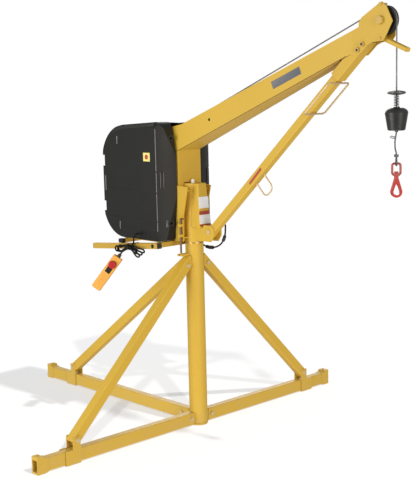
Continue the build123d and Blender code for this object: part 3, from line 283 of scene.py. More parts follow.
@dataclass(frozen=True)
class Finish:
    """How one kind of surface looks, from noise in the object's own metres."""

    name: str
    colour: Colour
    deep: Colour
    roughness: float
    metallic: float = 0.0
    coat: float = 0.0
    patch: float = 5.0
    spread: float = 0.5
    grain: Grain = Grain.PEEL
    relief: float = 0.15
    dust: float = 0.0
    specular: float = 0.5

    def _height(self, graph: Graph) -> Sock:
        """The fine relief.

        Args:
            graph: the material's nodes.

        Returns:
            The relief as a height.
        """
        if self.grain in GRAIN_NOISE:
            return graph.noise(*GRAIN_NOISE[self.grain])
        x, y, z = graph.axes()
        if self.grain is Grain.LAY:
            return ((x + z) * LAY_WAVE + y * LAY_SKEW).sine() * 0.5 + 0.5
        return ((x + y + z) * BEAD_WAVE).sine() * 0.5 + graph.noise(BEAD_NOISE)

    def material(self) -> bpy.types.Material:
        """Make the node material.

        Returns:
            The material, under the finish's name.
        """
        graph = Graph(self.name)
        patches = graph.noise(self.patch, detail=4.0, roughness=0.6)
        fine = graph.noise(self.patch * FINE_SCALE, detail=3.0, roughness=0.6)
        tint = (patches - PATCH_START) * PATCH_GAIN * self.spread
        share = (tint + (fine - MIDDLE) * FINE_GAIN * self.spread).within()
        colour = graph.mix(share, self.colour, self.deep)
        rough = self.roughness + (patches - MIDDLE) * PATCH_ROUGH + (fine - MIDDLE) * FINE_ROUGH
        if self.dust:
            _, _, height = graph.axes()
            specks = graph.noise(DUST_SCALE, detail=5.0, roughness=0.7)
            low = ((DUST_TOP - height) * DUST_FADE).within() * ((specks - DUST_START) * DUST_GAIN).within()
            colour = graph.mix(low * self.dust, colour, DUST_COLOUR)
            rough = rough + low * DUST_ROUGH
        bump = {"Strength": self.relief, "Distance": RELIEF_DEPTH, "Height": self._height(graph)}
        return graph.finish(
            {
                "Base Color": colour,
                "Roughness": rough.within(),
                "Metallic": self.metallic,
                "Coat Weight": self.coat,
                "Coat Roughness": COAT_ROUGHNESS,
                "Specular IOR Level": self.specular,
                "Normal": graph.out("ShaderNodeBump", {}, bump),
            }
        )


def moulded(
    name: str, colour: Colour, deep: Colour, roughness: float, patch: float, relief: float, **more: float
) -> Finish:
    """The finish of a moulded plastic or rubber, with more of its values by name."""
    return Finish(name, colour, deep, roughness, patch=patch, grain=Grain.MOULD, relief=relief, **more)


def metal(
    name: str, colour: Colour, deep: Colour, roughness: float, metallic: float, patch: float,
    grain: Grain, relief: float,
) -> Finish:
    """The finish of a bare, plated or painted metal."""
    return Finish(name, colour, deep, roughness, metallic, patch=patch, grain=grain, relief=relief)


def plate(name: str, colour: Colour, deep: Colour, roughness: float) -> Finish:
    """The finish of a thin glossy plate."""
    return moulded(name, colour, deep, roughness, 20.0, 0.08, coat=0.2)


FINISHES: dict[Slot, Finish] = {
    Slot(finish.name): finish
    for finish in (
        Finish(
            "yellow_paint", (0.63, 0.405, 0.046), (0.575, 0.36, 0.038), 0.46,
            coat=0.03, patch=3.0, dust=0.25, relief=0.04, specular=0.34,
        ),
        Finish(
            "bar_paint", (0.55, 0.345, 0.047), (0.50, 0.305, 0.038), 0.44,
            coat=0.05, patch=4.0, relief=0.04, specular=0.4,
        ),
        moulded(
            "cover_plastic", (0.0085, 0.0085, 0.0078), (0.015, 0.0147, 0.0135), 0.5, 6.0, 0.3, specular=0.32
        ),
        metal("zinc_steel", (0.62, 0.60, 0.55), (0.45, 0.42, 0.36), 0.34, 1.0, 40.0, Grain.CAST, 0.08),
        metal("bare_steel", (0.52, 0.53, 0.54), (0.36, 0.36, 0.37), 0.32, 1.0, 30.0, Grain.DRAWN, 0.1),
        metal("wire_rope", (0.24, 0.245, 0.25), (0.12, 0.12, 0.125), 0.45, 0.8, 60.0, Grain.LAY, 0.6),
        Finish(
            "weight_iron", (0.010, 0.0103, 0.0112), (0.022, 0.022, 0.0235), 0.38,
            patch=20.0, grain=Grain.CAST, relief=0.35, coat=0.15,
        ),
        Finish(
            "machine_grey", (0.16, 0.17, 0.18), (0.10, 0.105, 0.11), 0.5,
            patch=14.0, grain=Grain.CAST, relief=0.3,
        ),
        Finish(
            "hook_red", (0.45, 0.022, 0.018), (0.34, 0.014, 0.012), 0.34,
            patch=25.0, coat=0.2, relief=0.1, specular=0.4,
        ),
        moulded("pendant_yellow", (0.76, 0.37, 0.055), (0.68, 0.315, 0.042), 0.46, 18.0, 0.2),
        moulded("black_rubber", (0.016, 0.016, 0.016), (0.03, 0.03, 0.03), 0.62, 30.0, 0.3),
        moulded(
            "cable_black", (0.005, 0.005, 0.0054), (0.010, 0.010, 0.0104), 0.6, 40.0, 0.12, specular=0.2
        ),
        moulded(
            "black_plastic", (0.008, 0.008, 0.008), (0.015, 0.015, 0.015), 0.45, 30.0, 0.2, specular=0.3
        ),
        moulded("stop_red", (0.44, 0.008, 0.010), (0.35, 0.006, 0.008), 0.32, 30.0, 0.1, coat=0.15),
        metal("bronze", (0.55, 0.36, 0.14), (0.40, 0.25, 0.10), 0.36, 1.0, 40.0, Grain.DRAWN, 0.1),
        moulded("white_plastic", (0.78, 0.78, 0.75), (0.68, 0.68, 0.64), 0.34, 40.0, 0.1),
        moulded("sheave_black", (0.022, 0.022, 0.025), (0.04, 0.04, 0.042), 0.42, 24.0, 0.2),
    )
}

# Finishes of single pieces, beside those of the slots
WELD = Finish(
    "weld", (0.60, 0.37, 0.038), (0.48, 0.28, 0.03), 0.45,
    patch=30.0, grain=Grain.BEAD, relief=0.6, coat=0.1,
)
# Painted shade: the dark colour of the bead laid along the boom's lower fold, where shade falls
FOLD_SHADE = Finish("fold_shade", (0.20, 0.11, 0.02), (0.14, 0.075, 0.015), 0.6, patch=30.0, relief=0.3)
# Painted highlight: the pale colour of the beads on the cover's front corners, the grip slots' lips and the
# side clips
COVER_HIGHLIGHT = moulded(
    "cover_highlight", (0.145, 0.145, 0.15), (0.075, 0.075, 0.077), 0.34, 26.0, 0.2, spread=0.9
)
# Painted highlight: the paler colour of the strip along the top of the cover's sides, where the top edge
# catches the light
COVER_TOP_HIGHLIGHT = moulded(
    "cover_top_highlight", (0.021, 0.0215, 0.0205), (0.016, 0.0165, 0.0155), 0.5, 12.0, 0.3, specular=0.32
)
LATCH_GREY = moulded("latch_grey", (0.05, 0.05, 0.052), (0.03, 0.03, 0.031), 0.36, 30.0, 0.2)
# Painted shade: the dark colour of the discs that stand in for the shaded sockets in the strut's bolts
SOCKET_SHADE = metal(
    "socket_shade", (0.035, 0.022, 0.014), (0.022, 0.014, 0.009), 0.5, 0.3, 60.0, Grain.CAST, 0.2
)
BOLT_DULL = metal("bolt_dull", (0.52, 0.35, 0.08), (0.40, 0.26, 0.06), 0.46, 0.2, 60.0, Grain.CAST, 0.2)
BOLT_PALE = metal("bolt_pale", (0.68, 0.56, 0.34), (0.52, 0.40, 0.20), 0.4, 0.35, 60.0, Grain.CAST, 0.1)
ROPE_DARK = metal(
    "rope_dark", (0.12, 0.12, 0.125), (0.065, 0.065, 0.068), 0.45, 0.7, 60.0, Grain.LAY, 0.6
)
PIN_DARK = metal("pin_dark", (0.20, 0.115, 0.07), (0.11, 0.065, 0.04), 0.42, 0.5, 40.0, Grain.DRAWN, 0.2)
GOLD_ZINC = metal(
    "gold_zinc", (0.66, 0.50, 0.28), (0.52, 0.38, 0.20), 0.4, 0.55, 30.0, Grain.DRAWN, 0.15
)
DULL_STEEL = metal(
    "dull_steel", (0.115, 0.115, 0.115), (0.075, 0.075, 0.078), 0.45, 0.7, 40.0, Grain.CAST, 0.1
)
BAIL_RED = Finish(
    "bail_red", (0.40, 0.045, 0.035), (0.22, 0.10, 0.09), 0.34,
    metallic=0.25, patch=70.0, spread=0.9, coat=0.3, relief=0.15,
)
PLATE_PALE = plate("plate_pale", (0.86, 0.88, 0.93), (0.76, 0.78, 0.83), 0.38)
PLATE_RED = plate("plate_red", (0.42, 0.050, 0.032), (0.34, 0.036, 0.024), 0.40)
PLATE_GREY = plate("plate_grey", (0.10, 0.105, 0.12), (0.14, 0.145, 0.16), 0.36)
PLATE_GOLD = plate("plate_gold", (0.90, 0.76, 0.24), (0.84, 0.69, 0.18), 0.38)

# Carried nodes that look different from the rest of their slot
TOUCHES: dict[str, Finish] = {
    "strut_bolts": BOLT_DULL,
    "base_bolts": BOLT_PALE,
    "rope_tail": ROPE_DARK,
    "head_pins": BOLT_DULL,
    "sheave_axle": BOLT_DULL,
    "cover_screws": FINISHES[Slot.BLACK],
    "lock_pin": PIN_DARK,
    "strut_loops": GOLD_ZINC,
    "hook_bail": BAIL_RED,
    "striker_disc": DULL_STEEL,
    "rope_clips": DULL_STEEL,
}


@dataclass(frozen=True)
class Spot:
    """The part of a carried node, below a limit on one axis, that has another finish."""

    axis: int
    limit: float
    finish: Finish


# The bolt at the strut's foot is paler than those at its head
SPOTS: dict[str, Spot] = {"strut_bolts": Spot(0, 0.5, BOLT_PALE)}


@dataclass(frozen=True)
class Block:
    """The sizes of a block with eased edges, whose top face is set in where it has a rim."""

    size: Point
    edge: float
    rim: float = 0.0


@dataclass(frozen=True)
class Disc:
    """The sizes of a round or many-sided disc with eased edges, with a hole if its bore isn't 0."""

    radius: float
    bore: float
    height: float
    sides: int
    edge: float


class Bench:
    """Modelling steps that every sub-assembly uses."""

    # Side of the small plane that a chain of edges starts from
    seed: float = 0.001
    # Least share of a face's normal along Z that makes it face up or down
    facing: float = 0.9
    # Depth of a face inside its rim, as a share of the block's height
    sunk_share: float = 0.35
    # Eased edge of a strip, as a share of its thickness
    strip_ease: float = 0.3
    bevel: dict = {"segments": 2, "limit_method": "ANGLE"}
    disc_angle: float = 0.7
    bead_steps: int = 2
    sharp: float = math.radians(40)

    @staticmethod
    def fresh() -> None:
        """Leave edit mode and deselect everything."""
        if bpy.context.mode != "OBJECT":
            bpy.ops.object.mode_set(mode="OBJECT")
        bpy.ops.object.select_all(action="DESELECT")

    @staticmethod
    def edit(mode: str, action: str) -> None:
        """Enter edit mode with one kind of element selected or deselected all over.

        Args:
            mode: VERT, EDGE or FACE.
            action: SELECT or DESELECT.
        """
        bpy.ops.object.mode_set(mode="EDIT")
        bpy.ops.mesh.select_mode(type=mode)
        bpy.ops.mesh.select_all(action=action)

    @staticmethod
    def named(name: str) -> bpy.types.Object:
        """Name the active object and its mesh.

        Args:
            name: the piece's name.

        Returns:
            The object.
        """
        obj = bpy.context.active_object
        obj.name = name
        obj.data.name = name
        return obj

    @classmethod
    def settle(cls, name: str) -> bpy.types.Object:
        """Put the active object's place into its mesh, and name and return it."""
        bpy.ops.object.transform_apply(location=True, rotation=True, scale=True)
        return cls.named(name)

    @classmethod
    def pick(cls, obj: bpy.types.Object, test: Callable[[bpy.types.MeshPolygon], bool]) -> None:
        """Enter edit mode with the faces that pass a test selected.

        Args:
            obj: the mesh being shaped.
            test: says whether a face is wanted.
        """
        cls.edit("FACE", "DESELECT")
        bpy.ops.object.mode_set(mode="OBJECT")
        for face in obj.data.polygons:
            face.select = test(face)
        bpy.ops.object.mode_set(mode="EDIT")

    @staticmethod
    def apply(obj: bpy.types.Object, kind: str, settings: dict) -> None:
        """Add a modifier and apply it.

        Args:
            obj: the piece.
            kind: the modifier's type.
            settings: its properties.
        """
        modifier = obj.modifiers.new(kind.lower(), kind)
        for key, value in settings.items():
            setattr(modifier, key, value)
        bpy.context.view_layer.objects.active = obj
        bpy.ops.object.modifier_apply(modifier=modifier.name)

    @classmethod
    def block(cls, name: str, block: Block, frame_of: Matrix) -> bpy.types.Object:
        """A block centred on a frame.

        Args:
            name: the piece's name.
            block: its sizes, along the frame's axes.
            frame_of: where it goes.

        Returns:
            The piece.
        """
        cls.fresh()
        bpy.ops.mesh.primitive_cube_add(size=1.0)
        bpy.context.active_object.scale = block.size
        obj = cls.settle(name)
        if block.rim:
            cls.pick(obj, lambda face: face.normal.z > cls.facing)
            bpy.ops.mesh.inset(thickness=block.rim, depth=-block.size[2] * cls.sunk_share)
            bpy.ops.object.mode_set(mode="OBJECT")
        cls.apply(obj, "BEVEL", {"width": block.edge, **cls.bevel})
        obj.matrix_world = frame_of
        return cls.smooth(cls.settle(name))

    @classmethod
    def disc(cls, name: str, disc: Disc, frame_of: Matrix) -> bpy.types.Object:
        """A disc that stands on a frame.

        Args:
            name: the piece's name.
            disc: its sizes.
            frame_of: where its foot goes, with its axis along the frame's Z.

        Returns:
            The piece.
        """
        cls.fresh()
        bpy.ops.mesh.primitive_cylinder_add(
            vertices=disc.sides, radius=disc.radius, depth=disc.height, location=(0, 0, disc.height / 2)
        )
        obj = cls.settle(name)
        if disc.bore:
            cls.pick(obj, lambda face: abs(face.normal.z) > cls.facing)
            bpy.ops.mesh.inset(thickness=disc.radius - disc.bore, use_individual=True)
            bpy.ops.mesh.bridge_edge_loops()
            bpy.ops.object.mode_set(mode="OBJECT")
        cls.apply(obj, "BEVEL", {"width": disc.edge, **cls.bevel, "angle_limit": cls.disc_angle})
        obj.matrix_world = frame_of
        return cls.smooth(cls.settle(name))

    @classmethod
    def chain(cls, name: str, points: Sequence[Point], closed: bool = False) -> bpy.types.Object:
        """A chain of edges, drawn by pulling one vertex from point to point.

        Args:
            name: the piece's name.
            points: where it goes.
            closed: whether it ends where it starts.

        Returns:
            The piece, still without faces.
        """
        cls.fresh()
        bpy.ops.mesh.primitive_plane_add(size=cls.seed, location=points[0])
        obj = cls.settle(name)
        cls.edit("VERT", "SELECT")
        bpy.ops.mesh.merge(type="CENTER")
        for start, end in zip(points, points[1:]):
            step = Vector(end) - Vector(start)
            bpy.ops.mesh.extrude_vertices_move(TRANSFORM_OT_translate={"value": step[:]})
        if closed:
            bpy.ops.mesh.select_all(action="SELECT")
            bpy.ops.mesh.edge_face_add()
            bpy.ops.mesh.delete(type="ONLY_FACE")
        bpy.ops.object.mode_set(mode="OBJECT")
        return obj

    @classmethod
    def strip(cls, name: str, points: Sequence[Point], across: Point, thick: float) -> bpy.types.Object:
        """A flat band along a chain of points.

        Args:
            name: the piece's name.
            points: one edge of the band.
            across: from that edge to the other.
            thick: its thickness, half on each side.

        Returns:
            The piece.
        """
        obj = cls.chain(name, points)
        cls.edit("EDGE", "SELECT")
        bpy.ops.mesh.extrude_edges_move(TRANSFORM_OT_translate={"value": across})
        bpy.ops.object.mode_set(mode="OBJECT")
        cls.apply(obj, "SOLIDIFY", {"thickness": thick, "offset": 0.0, "use_even_offset": True})
        cls.apply(obj, "BEVEL", {"width": thick * cls.strip_ease, **cls.bevel})
        return cls.smooth(obj)

    @classmethod
    def bead(
        cls, name: str, points: Sequence[Point], radius: float, closed: bool = False
    ) -> bpy.types.Object:
        """A round bead along a chain of points.

        Args:
            name: the piece's name.
            points: its middle line.
            radius: half its thickness.
            closed: whether it ends where it starts.

        Returns:
            The piece as a mesh.
        """
        cls.chain(name, points, closed)
        bpy.ops.object.convert(target="CURVE")
        curve = bpy.context.active_object.data
        curve.bevel_depth = radius
        curve.bevel_resolution = cls.bead_steps
        curve.use_fill_caps = True
        bpy.ops.object.convert(target="MESH")
        return cls.smooth(cls.named(name))

    @classmethod
    def smooth(cls, obj: bpy.types.Object) -> bpy.types.Object:
        """Shade a piece softly up to its sharp edges.

        Args:
            obj: the piece.

        Returns:
            The same piece.
        """
        cls.fresh()
        obj.select_set(True)
        bpy.context.view_layer.objects.active = obj
        bpy.ops.object.shade_smooth_by_angle(angle=cls.sharp)
        bpy.ops.object.select_all(action="DESELECT")
        return obj

    @classmethod
    def join(cls, name: str, pieces: Sequence[bpy.types.Object]) -> bpy.types.Object:
        """Make one object of several.

        Args:
            name: the new name.
            pieces: what is joined.

        Returns:
            The one object.
        """
        cls.fresh()
        for piece in pieces:
            piece.select_set(True)
        bpy.context.view_layer.objects.active = pieces[0]
        bpy.ops.object.join()
        return cls.named(name)


def frame_at(place: Point, along: Point, up: Point) -> Matrix:
    """A frame with its X axis along one direction and its Z axis nearest to another.

    Args:
        place: where it stands.
        along: its X axis.
        up: its Z axis, squared to X.

    Returns:
        The frame.
    """
    x = Vector(along).normalized()
    z = Vector(up)
    z = (z - x * z.dot(x)).normalized()
    turned = Matrix((x, z.cross(x), z)).transposed().to_4x4()
    return Matrix.Translation(place) @ turned


def stand(name: str, data: bpy.types.ID) -> bpy.types.Object:
    """Bring new data into the scene.

    Args:
        name: the object's name.
        data: its camera, light or curve.

    Returns:
        The object.
    """
    obj = bpy.data.objects.new(name, data)
    bpy.context.scene.collection.objects.link(obj)
    return obj


def shining(way: Vector) -> Euler:
    """The rotation of a lamp that shines a given way."""
    return way.to_track_quat("-Z", "Y").to_euler()


@dataclass(frozen=True)
class Lamp:
    """One soft lamp, aimed at the crane's middle."""

    name: str
    place: Point
    power: float
    size: float
    colour: Colour
    target: Point = (0.1, 0.0, 0.9)

    def hang(self) -> None:
        """Hang the lamp."""
        data = bpy.data.lights.new(self.name, "AREA")
        data.energy = self.power
        data.size = self.size
        data.color = self.colour
        lamp = stand(self.name, data)
        lamp.location = self.place
        lamp.rotation_euler = shining(Vector(self.target) - Vector(self.place))


@dataclass
class Studio:
    """Camera, pale floor and soft light."""

    eye: Point = (3.6433, -3.3313, 1.6141)
    right: Point = (0.6872, 0.7261, -0.0227)
    up: Point = (-0.0873, 0.1135, 0.9897)
    forward: Point = (-0.72122, 0.67812, -0.14138)
    lens: float = 76.945
    sensor: float = 36.0
    far: float = 200.0
    lamps: tuple[Lamp, ...] = (
        Lamp("key", (-0.4, -4.4, 1.4), 140.0, 3.0, (1.0, 0.99, 0.96)),
        Lamp("right", (9.0, -1.4, 1.9), 430.0, 5.0, (1.0, 0.92, 0.80)),
        Lamp("rear", (-3.4, 3.6, 3.0), 140.0, 3.0, (0.97, 0.985, 1.0)),
        Lamp("below", (0.9, -0.9, -2.6), 70.0, 3.4, (1.0, 0.88, 0.72)),
    )
    ambient: float = 0.42
    backdrop: float = 1.0
    floor_side: float = 60.0
    floor_drop: float = 0.0005
    floor_shade: float = 0.40
    floor_patch: float = 1.5
    floor_mottle: float = 0.4
    floor_dim: float = 0.98
    floor_rough: float = 0.9
    floor_glow: float = 0.47
    suns: tuple[tuple[Point, float], ...] = (((0.62, 0.07, 0.78), 2.5), ((0.66, -0.36, 0.64), 1.6))
    sun_width: float = 0.03

    def build_camera(self) -> None:
        """Stand the camera where the photograph was taken."""
        data = bpy.data.cameras.new("camera")
        data.lens = self.lens
        data.sensor_width = self.sensor
        data.clip_end = self.far
        camera = stand("camera", data)
        back = -Vector(self.forward)
        turned = Matrix((Vector(self.right), Vector(self.up), back)).transposed().to_4x4()
        camera.matrix_world = Matrix.Translation(self.eye) @ turned
        bpy.context.scene.camera = camera

    def build_light(self) -> None:
        """Hang the lamps and set the pale surroundings, brighter to the camera than to the pieces."""
        for lamp in self.lamps:
            lamp.hang()
        world = bpy.data.worlds.new("studio")
        world.use_nodes = True
        tree = world.node_tree
        soft = tree.nodes["Background"]
        bright = tree.nodes.new("ShaderNodeBackground")
        for node, strength in ((soft, self.ambient), (bright, self.backdrop)):
            node.inputs["Strength"].default_value = strength
            node.inputs["Color"].default_value = WHITE
        share = tree.nodes.new("ShaderNodeMixShader")
        seen = tree.nodes.new("ShaderNodeLightPath")
        sources = (seen.outputs["Is Camera Ray"], soft.outputs[0], bright.outputs[0])
        for source, target in zip(sources, share.inputs):
            tree.links.new(source, target)
        tree.links.new(share.outputs[0], tree.nodes["World Output"].inputs["Surface"])
        bpy.context.scene.world = world
        bpy.context.scene.view_settings.view_transform = "Standard"

    def _floor_material(self) -> bpy.types.Material:
        """Make the floor's material, which glows like a light table.

        Returns:
            The material.
        """
        graph = Graph("floor_pale")
        pale = (self.floor_shade,) * 3
        dim = (self.floor_shade * self.floor_dim,) * 3
        return graph.finish(
            {
                "Base Color": graph.mix(graph.noise(self.floor_patch) * self.floor_mottle, pale, dim),
                "Roughness": self.floor_rough,
                "Specular IOR Level": 0.0,
                "Emission Color": WHITE,
                "Emission Strength": self.floor_glow,
            }
        )

    def build_floor(self) -> None:
        """Lay the floor, with suns of its own for the shadows on it, and keep the lamps off it."""
        Bench.fresh()
        bpy.ops.mesh.primitive_plane_add(size=self.floor_side, location=(0, 0, -self.floor_drop))
        floor = Bench.settle("floor")
        floor.data.materials.append(self._floor_material())
        floor.visible_diffuse = False
        floor.visible_glossy = False
        floor.visible_shadow = False
        only = bpy.data.collections.new("floor_only")
        only.objects.link(floor)
        for source, power in self.suns:
            data = bpy.data.lights.new("floor_sun", "SUN")
            data.energy = power
            data.angle = self.sun_width
            sun = stand("floor_sun", data)
            sun.rotation_euler = shining(-Vector(source))
            sun.light_linking.receiver_collection = only
        apart = bpy.data.collections.new("floor_apart")
        apart.objects.link(floor)
        apart.collection_objects[0].light_linking.link_state = "EXCLUDE"
        for lamp in self.lamps:
            bpy.data.objects[lamp.name].light_linking.receiver_collection = apart


class Paintbox:
    """Keeps one material for each finish that is used."""

    def __init__(self) -> None:
        """Start with no material."""
        self._made: dict[str, bpy.types.Material] = {}

    def take(self, finish: Finish) -> bpy.types.Material:
        """The finish's material, made once.

        Args:
            finish: how it looks.

        Returns:
            The material.
        """
        if finish.name not in self._made:
            self._made[finish.name] = finish.material()
        return self._made[finish.name]

    def coat(self, obj: bpy.types.Object, finish: Finish) -> None:
        """Paint a piece all over.

        Args:
            obj: the piece.
            finish: how it looks.
        """
        material = self.take(finish)
        if obj.material_slots:
            for slot in obj.material_slots:
                slot.material = material
        else:
            obj.data.materials.append(material)

    def spot(self, obj: bpy.types.Object, spot: Spot) -> None:
        """Give a part of a piece another finish.

        Args:
            obj: the piece.
            spot: which part, and how it looks.
        """
        Bench.fresh()
        obj.select_set(True)
        bpy.context.view_layer.objects.active = obj
        place = obj.matrix_world.copy()
        Bench.pick(obj, lambda face: (place @ face.center)[spot.axis] < spot.limit)
        bpy.ops.object.material_slot_add()
        obj.active_material = self.take(spot.finish)
        bpy.ops.object.material_slot_assign()
        bpy.ops.object.mode_set(mode="OBJECT")


@dataclass
class Dresser:
    """Gives pieces their finish and their body."""

    paint: Paintbox

    def dress(self, obj: bpy.types.Object, slot: Slot, finish: Finish | None = None) -> None:
        """Paint a new piece in its slot's finish, or in another that is given.

        Args:
            obj: the piece.
            slot: the slot whose finish it takes when none is given.
            finish: how it looks, if not as its slot does.
        """
        look = finish or FINISHES[slot]
        self.paint.coat(obj, look)
        log.info("%s: %s", obj.name, look.name)

    def put(self, obj: bpy.types.Object, body: str, slot: Slot, finish: Finish | None = None) -> None:
        """As dress, but the piece also rides on a body."""
        self.dress(obj, slot, finish)
        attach(obj, body)


class CarriedPieces(Dresser):
    """The CAD's own pieces, whose shapes stay as they are."""

    def build(self) -> None:
        """Give each carried node its finish."""
        for piece in frame["record"]["subparts"]:
            node = piece["node"]
            look = TOUCHES.get(node, FINISHES[Slot(piece["material_slot"])])
            obj = frame["nodes"][node]
            self.paint.coat(obj, look)
            if node in SPOTS:
                self.paint.spot(obj, SPOTS[node])
            log.info("%s: %s", node, look.name)


@dataclass
class Cables(Dresser):
    """The pendant's cable with its tied hank, and the limit switch's cable with two sleeves."""

    radius: float = 0.004
    curve_order: int = 3
    curve_steps: int = 8
    round_steps: int = 3
    pendant_drop: tuple[Point, ...] = (
        (-0.197, -0.181, 0.952),
        (-0.197, -0.196, 0.952),
        (-0.197, -0.209, 0.9445),
        (-0.197, -0.2165, 0.9315),
        (-0.197, -0.2165, 0.914),
        (-0.2055, -0.216, 0.8993),
        (-0.2202, -0.215, 0.8908),
        (-0.236, -0.215, 0.8908),
    )
    pendant_lead: tuple[Point, ...] = (
        (-0.186, -0.245, 0.89366),
        (-0.215, -0.245, 0.89366),
        (-0.2236, -0.248, 0.8883),
        (-0.2408, -0.2664, 0.85545),
    )
    limit_lead: tuple[Point, ...] = (
        (0.172, 0.028, 1.0037),
        (0.172, 0.045, 1.0037),
        (0.169, 0.047, 0.982),
        (0.166, 0.049, 0.957),
        (0.155, 0.052, 0.929),
        (0.129, 0.057, 0.901),
        (0.087, 0.062, 0.881),
        (0.038, 0.066, 0.874),
        (-0.008, 0.068, 0.881),
        (-0.0291, 0.070, 0.899),
        (-0.050, 0.070, 0.899),
    )
    sleeves: tuple[tuple[float, tuple[Point, ...]], ...] = (
        (0.0080, ((0.1605, 0.0505, 0.943), (0.1531, 0.0523, 0.929), (0.1460, 0.0535, 0.919))),
        (0.0090, ((0.0625, 0.0640, 0.8775), (0.0384, 0.0658, 0.8758), (0.0150, 0.0670, 0.8775))),
    )
    hank_centre: Pair = (-0.214, 0.8895)
    waist: float = 0.0078
    left_half: float = 0.013
    right_half: float = 0.009
    # Reach and drop of each loop to the left, then to the right
    loops: tuple[tuple[float, float, float, float], ...] = (
        (-0.106, 0.016, 0.098, 0.013),
        (-0.099, 0.018, 0.092, 0.023),
        (-0.104, 0.015, 0.084, 0.033),
    )
    # How far out along a loop its inner and outer control points lie
    near_share: float = 0.3
    far_share: float = 0.7
    # Shares of the step to the next loop at the lower and upper end of a right turn
    early: float = 0.25
    late: float = 0.75
    first_y: float = -0.215
    step: float = 0.010

    def hank_points(self) -> list[Point]:
        """Work out the loops that hang either side of the tied waist.

        Returns:
            Their control points.
        """
        cx, cz = self.hank_centre
        top, foot = cz + self.waist, cz - self.waist
        points: list[Point] = []
        for index, (left, left_drop, right, right_drop) in enumerate(self.loops):
            y = self.first_y - index * self.step
            later = y - self.step
            half = self.left_half
            near, far = (cx + share * (left + half) for share in (self.near_share, self.far_share))
            high, low = cz - left_drop + half, cz - left_drop - half
            if index:
                points.append((near, y, top))
            points += [(far, y, high), (cx + left, y, high), (cx + left, y, low), (far, y, low)]
            points.append((near, y, foot))
            half = self.right_half
            near, far = (cx + share * (right - half) for share in (self.near_share, self.far_share))
            high, low = cz - right_drop + half, cz - right_drop - half
            points += [(near, y, foot), (far, y, low)]
            points.append((cx + right, y - self.early * self.step, low))
            points.append((cx + right, y - self.late * self.step, high))
            points.append((far, later, high))
            if index < len(self.loops) - 1:
                points.append((near, later, top))
        return points

    def _cord(self, name: str, points: Sequence[Point]) -> bpy.types.Object:
        """Lay one cable on the jib.

        Args:
            name: the piece's name.
            points: its route's control points.

        Returns:
            The cable as a curve.
        """
        data = bpy.data.curves.new(name, "CURVE")
        data.dimensions = "3D"
        spline = data.splines.new("NURBS")
        spline.points.add(len(points) - 1)
        for point, place in zip(spline.points, points):
            point.co = (*place, 1.0)
        spline.order_u = self.curve_order
        spline.use_endpoint_u = True
        spline.resolution_u = self.curve_steps
        data.bevel_depth = self.radius
        data.bevel_resolution = self.round_steps
        data.use_fill_caps = True
        cord = stand(name, data)
        self.put(cord, "jib", Slot.CABLE)
        return cord

    def build(self) -> None:
        pendant = self._cord("pendant_cord", [*self.pendant_drop, *self.hank_points(), *self.pendant_lead])
        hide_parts("pendant_cable", "cable_hank")
        limit = self._cord("limit_cord", self.limit_lead)
        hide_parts("limit_cable")
        boots = [
            Bench.bead(f"limit_boot_{index}", points, thick)
            for index, (thick, points) in enumerate(self.sleeves)
        ]
        self.put(Bench.join("limit_sleeves", boots), "jib", Slot.RUBBER)


